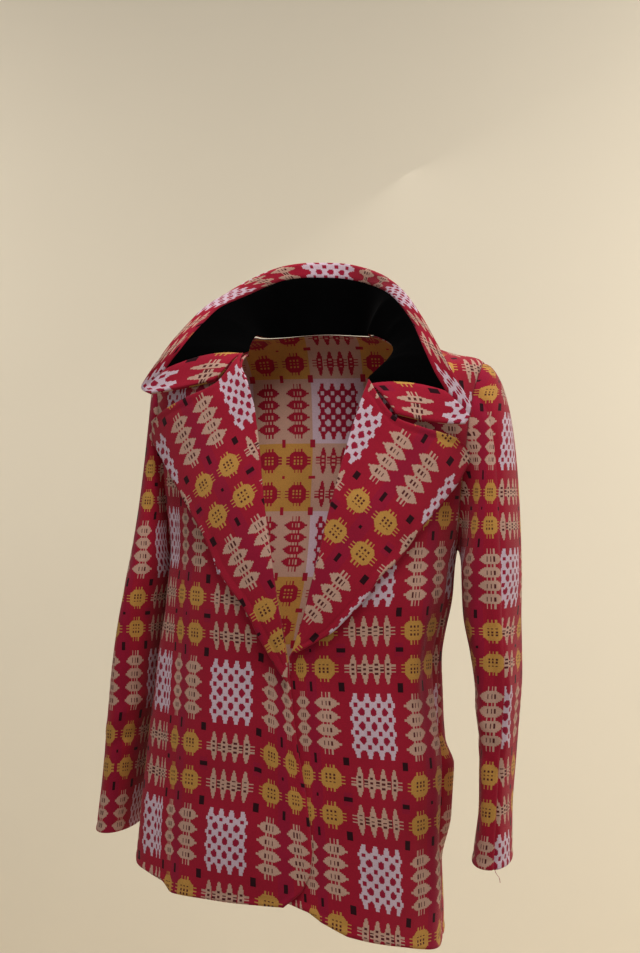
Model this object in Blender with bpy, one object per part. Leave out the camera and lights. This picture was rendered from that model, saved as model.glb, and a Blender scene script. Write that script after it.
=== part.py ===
"""Hip-length jacket of double-woven wool tapestry, worn form, hollow.

Metres, +Z up. The front faces -Y and the wearer's left is +X.
The origin is at the base of the neck, where the wearer carries the jacket.
Every cloth piece is a wall between an outer and an inner sheet of points.
"""
import math

import bmesh
import bpy
import numpy as np

# Cloth thickness and the gaps at seams
WOOL = 0.0022
VELVET = 0.0014
SEAM = 0.0003
LAYER_GAP = 0.0004

# Body sections from the neck (row 0) to below the hem (row 15). Each is a squared oval:
# its height at front, side and back, its sideways shift, half width and depths.
BODY_COLUMNS = ("z_front", "z_side", "z_back", "shift", "half", "front", "back", "square")
BODY = np.array([
    (-0.035, 0.012, 0.020, -0.009, 0.069, 0.125, 0.068, 2.5),
    (-0.060, 0.000, 0.003, 0.000, 0.120, 0.118, 0.086, 2.3),
    (-0.085, -0.013, -0.022, 0.000, 0.162, 0.115, 0.100, 2.2),
    (-0.108, -0.024, -0.050, 0.000, 0.197, 0.116, 0.110, 2.2),
    (-0.130, -0.060, -0.085, 0.000, 0.202, 0.120, 0.116, 2.2),
    (-0.155, -0.115, -0.125, 0.000, 0.197, 0.127, 0.118, 2.2),
    (-0.195, -0.180, -0.180, -0.002, 0.183, 0.135, 0.116, 2.3),
    (-0.245, -0.245, -0.245, -0.004, 0.169, 0.139, 0.110, 2.4),
    (-0.300, -0.300, -0.300, -0.009, 0.167, 0.139, 0.103, 2.4),
    (-0.340, -0.340, -0.340, -0.016, 0.166, 0.136, 0.099, 2.4),
    (-0.380, -0.380, -0.380, -0.022, 0.167, 0.133, 0.097, 2.4),
    (-0.440, -0.440, -0.440, -0.025, 0.174, 0.133, 0.104, 2.4),
    (-0.500, -0.500, -0.500, -0.027, 0.180, 0.135, 0.113, 2.4),
    (-0.570, -0.570, -0.570, -0.033, 0.182, 0.138, 0.121, 2.3),
    (-0.640, -0.640, -0.640, -0.035, 0.1840, 0.141, 0.127, 2.3),
    (-0.700, -0.700, -0.700, -0.036, 0.1855, 0.143, 0.131, 2.3),
])
SIDE_HEIGHT = BODY_COLUMNS.index("z_side")
SHOULDER_TIP_ROW = 3
UNDERARM_ROW = 7
LEVEL_ROW = 12
HEM_ROW = 14

# Drape folds down the body, a row each: angle round the body at the underarm and at the hem,
# height of the ridge (a trough is negative), half width in degrees, and the heights
# where it starts, reaches its full height, and ends.
# Columns: angle_top, angle_hem, height, spread, start, full, end
FOLDS = [
    (-66.0, -62.0, 0.007, 9.0, -0.15, -0.30, -0.90),
    (-84.0, -82.0, -0.006, 8.0, -0.25, -0.50, -0.90),
    (-104.0, -108.0, 0.012, 10.0, -0.38, -0.62, -0.90),
    (58.0, 72.0, 0.008, 8.0, -0.20, -0.34, -0.90),
    (80.0, 92.0, -0.005, 8.0, -0.24, -0.42, -0.76),
    (97.0, 97.0, 0.010, 6.0, -0.47, -0.50, -0.62),
    (-30.0, -28.0, -0.003, 12.0, -0.36, -0.55, -0.90),
    (30.0, 34.0, -0.003, 11.0, -0.36, -0.55, -0.90),
    (128.0, 124.0, -0.005, 12.0, -0.30, -0.60, -0.90),
    (150.0, 148.0, 0.006, 11.0, -0.34, -0.60, -0.90),
    (-172.0, -178.0, -0.004, 13.0, -0.30, -0.60, -0.90),
    (-146.0, -144.0, 0.006, 11.0, -0.34, -0.60, -0.90),
    (-126.0, -127.0, -0.004, 9.0, -0.30, -0.60, -0.90),
]

# Height of the hem round the body. Columns: angle, height
HEM_RIGHT = [(-180.0, -0.650), (-135.0, -0.628), (-105.0, -0.610), (-90.0, -0.606), (-70.0, -0.607),
             (-58.0, -0.613), (-49.0, -0.621), (-45.0, -0.631), (-40.0, -0.631), (30.0, -0.632)]
HEM_LEFT = [(-20.0, -0.626), (12.0, -0.628), (20.0, -0.637), (26.0, -0.648), (36.5, -0.662),
            (50.0, -0.672), (60.0, -0.680), (70.0, -0.690), (80.0, -0.696), (90.0, -0.696),
            (120.0, -0.688), (150.0, -0.665), (180.0, -0.650)]

# Front edges: angle of the edge at each body row, roll line above the crossing and edge below it.
# Columns: row, angle
RIGHT_EDGE = [(0.0, -41.0), (1.0, -31.0), (2.0, -27.0), (3.0, -24.5), (4.0, -21.6), (5.0, -18.2),
              (6.2, -12.6), (7.5, -6.2), (9.0, 2.4), (9.8, 6.2), (10.5, 8.6), (11.5, 12.8),
              (12.2, 16.8), (12.7, 19.7), (13.1, 21.2), (13.45, 20.6), (13.75, 17.0), (14.0, 9.5)]
LEFT_EDGE = [(0.0, 41.0), (1.5, 37.0), (2.0, 35.0), (3.0, 31.0), (4.0, 26.4), (5.2, 20.8), (6.4, 15.4),
             (7.7, 10.3), (9.2, 7.0), (9.9, 3.0), (11.0, 0.5), (12.0, -1.0), (13.0, -3.0), (14.0, -4.0)]
LEFT_NECK_DROP = 1.5
LEFT_ROLL_ANGLE = 37.0
OVERLAP_LIFT = WOOL + 0.0008
OVERLAP_FROM = -48.0
OVERLAP_FULL = -14.0

# Armhole: an oval on the body, this wide each way from the side
ARMHOLE_ANGLE = 16.5
ARMHOLE_ROW = 0.5 * (SHOULDER_TIP_ROW + UNDERARM_ROW)
ARMHOLE_ROWS = 0.5 * (UNDERARM_ROW - SHOULDER_TIP_ROW)
ARMHOLE_STEPS = 10

# Sleeve sections below the cap: height, centre, half widths across and front to back
# Columns: z, x, y, across, deep
LEFT_SLEEVE = np.array([
    (-0.275, 0.2055, 0.002, 0.0345, 0.077),
    (-0.320, 0.2065, 0.000, 0.0330, 0.074),
    (-0.360, 0.2110, -0.003, 0.0295, 0.071),
    (-0.400, 0.2140, -0.005, 0.0265, 0.068),
    (-0.465, 0.2135, -0.006, 0.0220, 0.064),
    (-0.535, 0.2110, -0.006, 0.0190, 0.060),
    (-0.575, 0.2085, -0.006, 0.0210, 0.058),
    (-0.600, 0.2070, -0.007, 0.0228, 0.057),
])
RIGHT_SLEEVE = np.array([
    (-0.275, -0.2060, 0.006, 0.0285, 0.076),
    (-0.320, -0.2165, 0.006, 0.0290, 0.074),
    (-0.360, -0.2240, 0.006, 0.0290, 0.071),
    (-0.400, -0.2305, 0.007, 0.0280, 0.068),
    (-0.465, -0.2395, 0.010, 0.0255, 0.064),
    (-0.520, -0.2470, 0.013, 0.0235, 0.060),
    (-0.565, -0.2545, 0.015, 0.0225, 0.058),
    (-0.588, -0.2580, 0.016, 0.0222, 0.057),
])
SLEEVE_SQUARE = 2.2
CAP_STEPS = 7
# How far the cap leaves the armhole sideways, as a share of its length, and its slope down there
CAP_DOWN = 0.48
LEFT_CAP = (0.14, 0.35)
RIGHT_CAP = (0.05, 0.80)

# Lapels: the outer outline from the inner end of the gorge over the notch and tip to the crossing.
# Places are metres across (x) and up (z), and the row's share of the way down the roll line.
# Columns of the tops: across, height. Columns of the sides: share, across, height
RIGHT_LAPEL_TOP = [(-0.072, -0.020), (-0.098, -0.053), (-0.130, -0.066), (-0.158, -0.078), (-0.174, -0.087)]
RIGHT_LAPEL_SIDE = [(0.00, -0.181, -0.097), (0.05, -0.184, -0.110), (0.10, -0.178, -0.121),
                    (0.16, -0.166, -0.137), (0.24, -0.150, -0.160), (0.36, -0.124, -0.197),
                    (0.48, -0.103, -0.228), (0.60, -0.083, -0.267), (0.73, -0.054, -0.303),
                    (0.84, -0.037, -0.337), (0.93, -0.020, -0.366), (1.00, -0.008, -0.384)]
LEFT_LAPEL_TOP = [(0.077, -0.050), (0.105, -0.090), (0.134, -0.103), (0.154, -0.109), (0.170, -0.116)]
LEFT_LAPEL_SIDE = [(0.00, 0.177, -0.126), (0.05, 0.179, -0.136), (0.11, 0.174, -0.149),
                   (0.20, 0.165, -0.168), (0.34, 0.137, -0.208), (0.48, 0.111, -0.247),
                   (0.60, 0.092, -0.267), (0.70, 0.077, -0.290), (0.79, 0.061, -0.308),
                   (0.87, 0.044, -0.326), (0.93, 0.026, -0.338), (1.00, 0.003, -0.351)]
RIGHT_LAPEL = (RIGHT_EDGE, 0.0, 9.75, RIGHT_LAPEL_TOP, RIGHT_LAPEL_SIDE)
LEFT_LAPEL = (LEFT_EDGE, LEFT_NECK_DROP, 9.3, LEFT_LAPEL_TOP, LEFT_LAPEL_SIDE)
LAPEL_ROWS = 16
LAPEL_COLS = 8
LAPEL_CROWD = 1.1
# Air under a lapel: everywhere, over its middle, under its tip, and at the top of its roll,
# with the share of the lapel that each reaches
LAPEL_GAP = 0.0012
LAPEL_PUFF = 0.0035
TIP_PUFF = 0.003
ROLL_PUFF = 0.0026
SWELL_OUT = 0.62
SWELL_FADE = 0.3
TIP_DOWN = 0.3
ROLL_DOWN = 0.2

# Collar: stations along its seam, from the right notch round the neck to the left notch, each
# with the angle on the body, the outer edge point it reaches, and how far its middle bows up.
# The two stations at each end lie on the gorge instead.
# Columns: angle, edge_x, edge_y, edge_z, bow
COLLAR = [
    (None, -0.184, -0.088, -0.060, -0.001),
    (None, -0.195, -0.083, -0.050, 0.003),
    (-41.0, -0.170, -0.088, -0.017, 0.010),
    (-66.0, -0.147, -0.067, 0.019, 0.012),
    (-95.0, -0.121, -0.032, 0.054, 0.012),
    (-135.0, -0.062, 0.048, 0.102, 0.008),
    (-180.0, 0.000, 0.080, 0.110, 0.006),
    (-225.0, 0.052, 0.048, 0.096, 0.008),
    (-265.0, 0.098, -0.014, 0.066, 0.012),
    (-287.0, 0.130, -0.058, 0.027, 0.012),
    (-306.0, 0.156, -0.086, -0.016, 0.010),
    (-323.0, 0.172, -0.087, -0.045, 0.008),
    (None, 0.190, -0.084, -0.080, 0.003),
    (None, 0.183, -0.088, -0.098, -0.003),
]
COLLAR_LIFT = 0.0006
GORGE_LIFT = 0.0022
GORGE_GAP = 0.0028
COLLAR_BAND = 0.023
COLLAR_COLS = 30
INLAY_AT_SEAM = 1.75
INLAY_AT_RIM = 1.40
MITRE_AT_EDGE = 0.60

WOOL_RED = (0.36, 0.02, 0.05, 1.0)
BAND_RED = (0.42, 0.03, 0.07, 1.0)
VELVET_BLACK = (0.006, 0.006, 0.007, 1.0)


def smooth(value):
    """Ease from 0 to 1."""
    value = min(max(value, 0.0), 1.0)
    return value * value * (3 - 2 * value)


def row_at(table, place):
    """Values between the rows of a table, on a smooth curve through them."""
    last = len(table) - 1
    place = min(max(place, 0.0), float(last))
    i = min(int(place), last - 1)
    f = place - i
    before = table[max(i - 1, 0)]
    here = table[i]
    after = table[i + 1]
    beyond = table[min(i + 2, last)]
    slope = (after - before) * f
    bend = (2 * before - 5 * here + 4 * after - beyond) * f * f
    twist = (3 * here - before - 3 * after + beyond) * f ** 3
    return 0.5 * (2 * here + slope + bend + twist)


def read_table(table, place):
    """Value of a two-column table at a place, straight between its rows."""
    return float(np.interp(place, [row[0] for row in table], [row[1] for row in table]))


def fold_height(angle, height):
    """How far the drape folds push the cloth out at an angle and a height."""
    total = 0.0
    for angle_top, angle_hem, rise, spread, start, full, end in FOLDS:
        down = smooth((height + 0.25) / (-0.64 + 0.25))
        centre = angle_top + (angle_hem - angle_top) * down
        away = (angle - centre + 180.0) % 360.0 - 180.0
        if abs(away) < 3 * spread:
            ramp = smooth((start - height) / (start - full)) * smooth((height - end) / (full - end) * 2)
            total += rise * ramp * math.exp(-(away / spread) ** 2)
    return total


def body_point(angle, row):
    """Point of the cloth's outer face at an angle (degrees, 0 in front) and a body row."""
    z_front, z_side, z_back, shift, half, front, back, square = row_at(BODY, row)
    s = math.sin(math.radians(angle))
    c = math.cos(math.radians(angle))
    depth = front if c > 0 else back
    z_end = z_front if c > 0 else z_back
    z = z_side * s * s + z_end * c * c
    radius = ((abs(s) / half) ** square + (abs(c) / depth) ** square) ** (-1 / square)
    radius += fold_height(angle, z)
    return np.array([shift + radius * s, -radius * c, z])


def unit(vector):
    return vector / np.linalg.norm(vector)


def body_normal(angle, row):
    """Outward direction of the cloth there."""
    step = 0.02
    row = max(row, 0.0)
    round_body = body_point(angle + 25 * step, row) - body_point(angle - 25 * step, row)
    down = body_point(angle, row + step) - body_point(angle, max(row - step, 0.0))
    return unit(np.cross(down, round_body))


def raised(angle, row, lift):
    """Point lifted off the cloth's outer face."""
    return body_point(angle, row) + body_normal(angle, row) * lift


def overlap_lift(angle, row):
    """The wearer's right front lies over the left one at the middle."""
    return OVERLAP_LIFT * smooth((angle - OVERLAP_FROM) / (OVERLAP_FULL - OVERLAP_FROM))


def find_front(x, z):
    """Angle and row of the body's front at a place across and up."""
    angle = math.degrees(math.atan2(x, 0.11))
    row = 5.0
    for _ in range(60):
        point = body_point(angle, row)
        miss = np.array([x - point[0], z - point[2]])
        by_angle = (body_point(angle + 0.1, row) - point) / 0.1
        by_row = (body_point(angle, row + 0.01) - point) / 0.01
        slopes = np.array([[by_angle[0], by_row[0]], [by_angle[2], by_row[2]]])
        move = np.linalg.solve(slopes, miss)
        angle += float(np.clip(move[0], -4, 4))
        row = float(np.clip(row + np.clip(move[1], -0.7, 0.7), 0.0, 14.9))
    return angle, row


def make_material(name, colour, roughness):
    material = bpy.data.materials.new(name)
    material.use_nodes = True
    shader = material.node_tree.nodes["Principled BSDF"]
    shader.inputs["Base Color"].default_value = colour
    shader.inputs["Roughness"].default_value = roughness
    shader.inputs["Metallic"].default_value = 0.0
    return material


def make_wall(name, outer, inner, material, closed=False):
    """Closed wall between two sheets of points, rows by columns. A tube closes on itself."""
    rows, cols = outer.shape[:2]
    mesh = bmesh.new()
    out = [[mesh.verts.new(p) for p in line] for line in outer]
    back = [[mesh.verts.new(p) for p in line] for line in inner]
    around = cols if closed else cols - 1
    for i in range(rows - 1):
        for j in range(around):
            k = (j + 1) % cols
            mesh.faces.new((out[i][j], out[i + 1][j], out[i + 1][k], out[i][k]))
            mesh.faces.new((back[i][j], back[i][k], back[i + 1][k], back[i + 1][j]))
    for j in range(around):
        k = (j + 1) % cols
        mesh.faces.new((out[0][j], out[0][k], back[0][k], back[0][j]))
        mesh.faces.new((out[-1][k], out[-1][j], back[-1][j], back[-1][k]))
    if not closed:
        for i in range(rows - 1):
            mesh.faces.new((out[i + 1][0], out[i][0], back[i][0], back[i + 1][0]))
            mesh.faces.new((out[i][-1], out[i + 1][-1], back[i + 1][-1], back[i][-1]))
    bmesh.ops.recalc_face_normals(mesh, faces=mesh.faces)
    data = bpy.data.meshes.new(name)
    mesh.to_mesh(data)
    mesh.free()
    data.materials.append(material)
    data.shade_smooth()
    data.set_sharp_from_angle(angle=math.radians(40))
    thing = bpy.data.objects.new(name, data)
    jacket.objects.link(thing)
    return thing


def panel_rows():
    """Body rows of a panel, closer together where the armhole turns."""
    rows = [0.0, 0.45, 0.95, 1.5, 2.25]
    for i in range(ARMHOLE_STEPS + 1):
        rows.append(ARMHOLE_ROW - ARMHOLE_ROWS * math.cos(math.pi * i / ARMHOLE_STEPS))
    rows += [7.6, 8.3, 9.0, 9.75, 10.6, 11.4, 12.2, 12.8, 13.3, 13.7, 14.0]
    return rows


def side_angle(row):
    """Angle from the front of a front panel's outer edge: the seam, or the armhole between."""
    reach = (row - ARMHOLE_ROW) / ARMHOLE_ROWS
    if abs(reach) >= 1:
        return 90.0
    return 90.0 - ARMHOLE_ANGLE * math.sqrt(1 - reach * reach)


def trim(angle, row, towards):
    """Move a seam edge back by half the seam gap."""
    step = 0.5
    length = np.linalg.norm(body_point(angle + step, row) - body_point(angle - step, row)) / (2 * step)
    return angle + towards * 0.5 * SEAM / max(length, 0.001)


def hem_row(angle, hem):
    """Body row of the hem at an angle."""
    height = read_table(hem, angle)
    heights = BODY[:, SIDE_HEIGHT]
    return float(np.interp(-height, -heights[LEVEL_ROW:], range(LEVEL_ROW, len(BODY))))


def lower_row(row, angle, hem):
    """Rows below the level row are stretched so that the last one is the hem."""
    if row <= LEVEL_ROW:
        return row
    return LEVEL_ROW + (row - LEVEL_ROW) / (HEM_ROW - LEVEL_ROW) * (hem_row(angle, hem) - LEVEL_ROW)


def make_front(name, side, edge, hem, cols, lift, neck_drop):
    """A front: from its roll line and front edge to the shoulder, armhole and side seam."""
    outer = []
    inner = []
    for row in panel_rows():
        start = read_table(edge, row + neck_drop * max(1 - row / SHOULDER_TIP_ROW, 0))
        end = trim(side * side_angle(row), row, -side)
        out_line = []
        in_line = []
        for j in range(cols):
            share = j / (cols - 1)
            angle = start + (end - start) * share
            place = lower_row(row, angle, hem)
            if row < SHOULDER_TIP_ROW:
                place = row + neck_drop * (1 - share) * (1 - row / SHOULDER_TIP_ROW)
            rise = lift(angle, place)
            out_line.append(raised(angle, place, rise))
            in_line.append(raised(angle, place, rise - WOOL))
        outer.append(out_line)
        inner.append(in_line)
    return make_wall(name, np.array(outer), np.array(inner), wool)


def make_back(cols):
    """The back, one piece from side seam to side seam."""
    outer = []
    inner = []
    for row in panel_rows():
        start = trim(side_angle(row) + 2 * (90.0 - side_angle(row)), row, 1)
        end = trim(360.0 - start, row, -1)
        out_line = []
        in_line = []
        for j in range(cols):
            angle = start + (end - start) * j / (cols - 1)
            signed = angle if angle <= 180 else angle - 360
            place = lower_row(row, signed, HEM_LEFT if angle <= 180 else HEM_RIGHT)
            out_line.append(raised(signed, place, 0.0))
            in_line.append(raised(signed, place, -WOOL))
        outer.append(out_line)
        inner.append(in_line)
    return make_wall("back", np.array(outer), np.array(inner), wool)


def armhole_point(side, turn):
    """Point of the armhole seam: turn 0 is the shoulder, 90 the front, 180 the underarm."""
    angle = side * (90.0 - ARMHOLE_ANGLE * math.sin(turn))
    row = ARMHOLE_ROW - ARMHOLE_ROWS * math.cos(turn)
    return body_point(angle, row)


def seam_normal(side, turn, normal):
    """Sleeve's direction at the armhole, turned towards the body's where both face alike."""
    angle = side * (90.0 - ARMHOLE_ANGLE * math.sin(turn))
    row = ARMHOLE_ROW - ARMHOLE_ROWS * math.cos(turn)
    on_body = body_normal(angle, row)
    share = max(float(np.dot(on_body, normal)), 0.0)
    return unit(normal + on_body * share)


def sleeve_section(side, table, place, turn):
    """Point of a sleeve section, turn 0 outwards and 90 in front."""
    z, x, y, across, deep = row_at(table, place)
    s = math.sin(turn)
    c = math.cos(turn)
    radius = ((abs(c) / across) ** SLEEVE_SQUARE + (abs(s) / deep) ** SLEEVE_SQUARE) ** (-1 / SLEEVE_SQUARE)
    return np.array([x + side * radius * c, y - radius * s, z])


def sleeve_turn(table, place, share):
    """Polar direction of a section's point that lies a share of the way round."""
    across, deep = row_at(table, place)[3:5]
    turn = 2 * math.pi * share
    return math.atan2(deep * math.sin(turn), across * math.cos(turn))


def sleeve_point(side, table, cap, place, share):
    """Outer face of a sleeve: place 0 to 1 is the cap, then the sections."""
    if place >= 1:
        return sleeve_section(side, table, place - 1, sleeve_turn(table, place - 1, share))
    start = armhole_point(side, 2 * math.pi * share) + np.array([side * SEAM, 0, 0])
    end = sleeve_section(side, table, 0, sleeve_turn(table, 0, share))
    length = np.linalg.norm(end - start)
    cap_out, cap_slope = cap
    lean = (table[0][1:3] - table[1][1:3]) / (table[0][0] - table[1][0])
    first = start + unit(np.array([side, 0, -cap_slope])) * cap_out * length
    second = end + np.array([lean[0], lean[1], 1.0]) * CAP_DOWN * length
    f = place
    return ((1 - f) ** 3 * start + 3 * (1 - f) ** 2 * f * first
            + 3 * (1 - f) * f * f * second + f ** 3 * end)


def make_sleeve(name, side, table, cap):
    """A set-in sleeve: the cap from the armhole, and the tube down to an open cuff."""
    places = [i / CAP_STEPS for i in range(CAP_STEPS)] + [1 + i for i in range(len(table))]
    cols = 2 * ARMHOLE_STEPS
    outer = []
    inner = []
    for place in places:
        out_line = []
        in_line = []
        for j in range(cols):
            share = j / cols
            here = sleeve_point(side, table, cap, place, share)
            last = len(table)
            low = min(place + 0.03, last)
            high = max(place - 0.03, 0.0)
            below = sleeve_point(side, table, cap, low, share)
            down = below - sleeve_point(side, table, cap, high, share)
            sideways = (sleeve_point(side, table, cap, place, share + 0.004)
                        - sleeve_point(side, table, cap, place, share - 0.004))
            normal = unit(np.cross(sideways, down)) * side
            if place == 0:
                normal = seam_normal(side, 2 * math.pi * share, normal)
            out_line.append(here)
            in_line.append(here - normal * WOOL)
        outer.append(out_line)
        inner.append(in_line)
    return make_wall(name, np.array(outer), np.array(inner), wool, closed=True)


def along(points, share):
    """Point a share of the way along a smooth curve through points, by their spacing."""
    points = np.array(points, dtype=float)
    steps = np.linalg.norm(np.diff(points, axis=0), axis=1)
    marks = np.concatenate([[0], np.cumsum(steps)]) / steps.sum()
    place = float(np.interp(share, marks, range(len(points))))
    return row_at(points, place)


def roll_place(shape, down):
    """Angle and row of the roll line a share of the way down."""
    front_edge, drop, crossing = shape[:3]
    row = drop + down * (crossing - drop)
    return np.array([read_table(front_edge, row), row])


def side_place(shape, down):
    """Angle and row of the lapel's free side a share of the way down."""
    side_rows = shape[4]
    place = float(np.interp(down, [row[0] for row in side_rows], range(len(side_rows))))
    return np.array(find_front(*row_at(np.array([row[1:] for row in side_rows]), place)))


def lapel_place(shape, down, out):
    """Angle and row on the front under a lapel point; the rows take the gorge's form at the top."""
    top = shape[3] + [shape[4][0][1:]]
    start = roll_place(shape, down)
    end = side_place(shape, down)
    high = roll_place(shape, 0)
    chord = high + (side_place(shape, 0) - high) * out
    dip = np.array(find_front(*along(top, out))) - chord
    return start + (end - start) * out + dip * (1 - down)


def make_lapel(name, shape, lift):
    """A lapel turned back along its roll line, lying on the front."""
    outer = []
    inner = []
    for i in range(LAPEL_ROWS):
        down = (i / (LAPEL_ROWS - 1)) ** LAPEL_CROWD
        out_line = []
        in_line = []
        for j in range(LAPEL_COLS):
            out = j / (LAPEL_COLS - 1)
            angle, row = lapel_place(shape, down, out)
            swell = math.sin(0.5 * math.pi * min(out / SWELL_OUT, 1.0))
            puff = LAPEL_PUFF * swell * (1 - down) ** SWELL_FADE
            puff += TIP_PUFF * out * out * max(1 - down / TIP_DOWN, 0.0)
            puff += ROLL_PUFF * (1 - out) * max(1 - down / ROLL_DOWN, 0.0)
            base = lift(angle, row) + LAPEL_GAP + puff
            out_line.append(raised(angle, row, base + WOOL))
            in_line.append(raised(angle, row, base))
        outer.append(out_line)
        inner.append(in_line)
    return make_wall(name, np.array(outer), np.array(inner), wool)


def no_lift(angle, row):
    return 0.0


def neck_row(angle):
    """Body row of the neck seam; the left front's lies lower towards the roll line."""
    if angle < 0 or angle > 90:
        return 0.0
    return LEFT_NECK_DROP * (90.0 - angle) / (90.0 - LEFT_ROLL_ANGLE)


def collar_curves():
    """Seam place on the body (angle, row, lift), outer edge and bow at each station, as arrays."""
    seam = []
    for angle, *_ in COLLAR:
        seam.append((angle, 0.0, COLLAR_LIFT))
    seam[0] = gorge_place(RIGHT_LAPEL_TOP, 1, overlap_lift)
    seam[1] = gorge_place(RIGHT_LAPEL_TOP, 0.5, overlap_lift)
    seam[-2] = gorge_place(LEFT_LAPEL_TOP, 0.5, no_lift)
    seam[-1] = gorge_place(LEFT_LAPEL_TOP, 1, no_lift)
    edge = np.array([row[1:4] for row in COLLAR])
    bow = np.array([[row[4]] for row in COLLAR])
    return np.array(seam, dtype=float), edge, bow


def gorge_place(top, share, lift):
    """Place of the gorge on the front, 0 at the roll line and 1 at the notch."""
    start = np.array(top[0])
    end = np.array(top[1])
    run = unit(end - start)
    clear = np.array([-run[1] * math.copysign(1, run[0]), abs(run[0])]) * GORGE_GAP
    angle, row = find_front(*(start + (end - start) * share + clear))
    signed = angle if angle < 0 else angle - 360.0
    return signed, row, lift(angle, row) + GORGE_LIFT + LAPEL_PUFF * share


def collar_seam(seam, place):
    """Seam point at a station place: on the neck edge, or on the gorge at either end."""
    last = len(COLLAR) - 1
    if 2 <= place <= last - 2:
        angle = float(np.interp(place, range(last + 1), seam[:, 0]))
        signed = (angle + 180.0) % 360.0 - 180.0
        return raised(signed, neck_row(signed), COLLAR_LIFT)
    inner = 2 if place < 2 else last - 2
    signed = (seam[inner][0] + 180.0) % 360.0 - 180.0
    ends = seam.copy()
    ends[inner] = (seam[inner][0], neck_row(signed), COLLAR_LIFT)
    angle = float(np.interp(place, range(last + 1), ends[:, 0]))
    row = float(np.interp(place, range(last + 1), ends[:, 1]))
    lift = float(np.interp(place, range(last + 1), ends[:, 2]))
    return raised((angle + 180.0) % 360.0 - 180.0, row, lift)


def collar_point(curves, place, s):
    """Middle surface of the collar: station place along, and s from seam to edge."""
    seam, edge, bow = curves
    place = min(max(place, 0.0), len(COLLAR) - 1.0)
    start = collar_seam(seam, place)
    end = row_at(edge, place)
    rise = row_at(bow, place)[0]
    middle = 0.5 * (start + end) + np.array([0, 0, 2 * rise])
    return (1 - s) ** 2 * start + 2 * (1 - s) * s * middle + s * s * end


def collar_frame(curves, place, s):
    """Directions along the collar, up to its edge, and off its upper face."""
    step = 0.05
    ahead = collar_point(curves, place + step, s) - collar_point(curves, place - step, s)
    up = collar_point(curves, place, min(s + step, 1)) - collar_point(curves, place, max(s - step, 0))
    return unit(ahead), unit(up), unit(np.cross(ahead, up))


def collar_layer(name, curves, places, low, high, material):
    """A layer of the collar between two heights over its middle surface.

    Each place is a station, a share up, and metres moved along and up to leave the seam gap.
    """
    outer = []
    inner = []
    for line in places:
        out_line = []
        in_line = []
        for place, s, move_along, move_up in line:
            foot = collar_frame(curves, place, 0.0)[2] * (WOOL + LAYER_GAP) * (1 - s)
            ahead, up, normal = collar_frame(curves, place, s)
            here = collar_point(curves, place, s) + foot + ahead * move_along + up * move_up
            out_line.append(here + normal * high)
            in_line.append(here + normal * low)
        outer.append(out_line)
        inner.append(in_line)
    return make_wall(name, np.array(outer), np.array(inner), material)


def spread(start, end, count):
    return [start + (end - start) * i / (count - 1) for i in range(count)]


def inlay_start(level):
    """Station where the front band meets the inlay; above the rim, level 1, it is the mitre."""
    if level <= 1:
        return INLAY_AT_SEAM + (INLAY_AT_RIM - INLAY_AT_SEAM) * level
    return INLAY_AT_RIM + (MITRE_AT_EDGE - INLAY_AT_RIM) * (level - 1)


def collar_share(curves, place, level):
    """Share of the collar's height at a level: 0 the seam, 1 the inlay's rim, 2 the edge."""
    middle = collar_point(curves, place, 0.5)
    height = np.linalg.norm(collar_point(curves, place, 1.0) - middle)
    height += np.linalg.norm(middle - collar_point(curves, place, 0.0))
    rim = 1 - COLLAR_BAND / max(height, 2 * COLLAR_BAND)
    return level * rim if level <= 1 else rim + (level - 1) * (1 - rim)


def collar_line(curves, places, level, gap, move_up):
    """Points of one level: station, share up, and the moves that leave the seam gap."""
    line = []
    for place in places:
        line.append([place, collar_share(curves, place, level), 0.0, move_up])
    line[0][2] = gap
    line[-1][2] = -gap
    return line


def make_collar():
    """Under collar, and on it the tapestry bands mitred round the velvet inlay."""
    curves = collar_curves()
    last = len(COLLAR) - 1
    lower = spread(0.0, 1.0, 4)
    upper = spread(1.0, 2.0, 3)

    def middle(level):
        return spread(inlay_start(level), last - inlay_start(level), COLLAR_COLS)

    under = []
    for level in lower + upper[1:]:
        half = 0.5 * inlay_start(level)
        places = [0.0, half] + middle(level) + [last - half, last]
        under.append(collar_line(curves, places, level, 0.0, 0.0))
    collar_layer("under_collar", curves, under, -LAYER_GAP - WOOL, -LAYER_GAP, wool)

    inlay = [collar_line(curves, middle(u), u, SEAM, -SEAM if u == 1 else 0.0) for u in lower]
    collar_layer("collar_velvet", curves, inlay, 0.0, VELVET, velvet)
    rim = [collar_line(curves, middle(u), u, SEAM, SEAM if u == 1 else 0.0) for u in upper]
    collar_layer("collar_band_outer", curves, rim, 0.0, WOOL, band)

    for name, end, away in (("collar_band_right", 0, 1), ("collar_band_left", last, -1)):
        rows = []
        for level in lower + upper[1:]:
            places = [end + away * inlay_start(level) * share for share in (0.0, 0.5, 1.0)]
            line = collar_line(curves, places, level, 0.0, 0.0)
            line[-1][2] = -away * SEAM
            rows.append(line)
        collar_layer(name, curves, rows, 0.0, WOOL, band)


for thing in list(bpy.data.objects):
    bpy.data.objects.remove(thing)
jacket = bpy.data.collections.new("wool_jacket")
bpy.context.scene.collection.children.link(jacket)
wool = make_material("wool_tapestry", WOOL_RED, 0.85)
band = make_material("wool_band", BAND_RED, 0.85)
velvet = make_material("velvet", VELVET_BLACK, 0.9)

make_front("right_front", -1, RIGHT_EDGE, HEM_RIGHT, 12, overlap_lift, 0.0)
make_front("left_front", 1, LEFT_EDGE, HEM_LEFT, 12, no_lift, LEFT_NECK_DROP)
make_back(22)
make_sleeve("right_sleeve", -1, RIGHT_SLEEVE, RIGHT_CAP)
make_sleeve("left_sleeve", 1, LEFT_SLEEVE, LEFT_CAP)
make_lapel("right_lapel", RIGHT_LAPEL, overlap_lift)
make_lapel("left_lapel", LEFT_LAPEL, no_lift)
make_collar()
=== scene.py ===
import math

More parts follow.
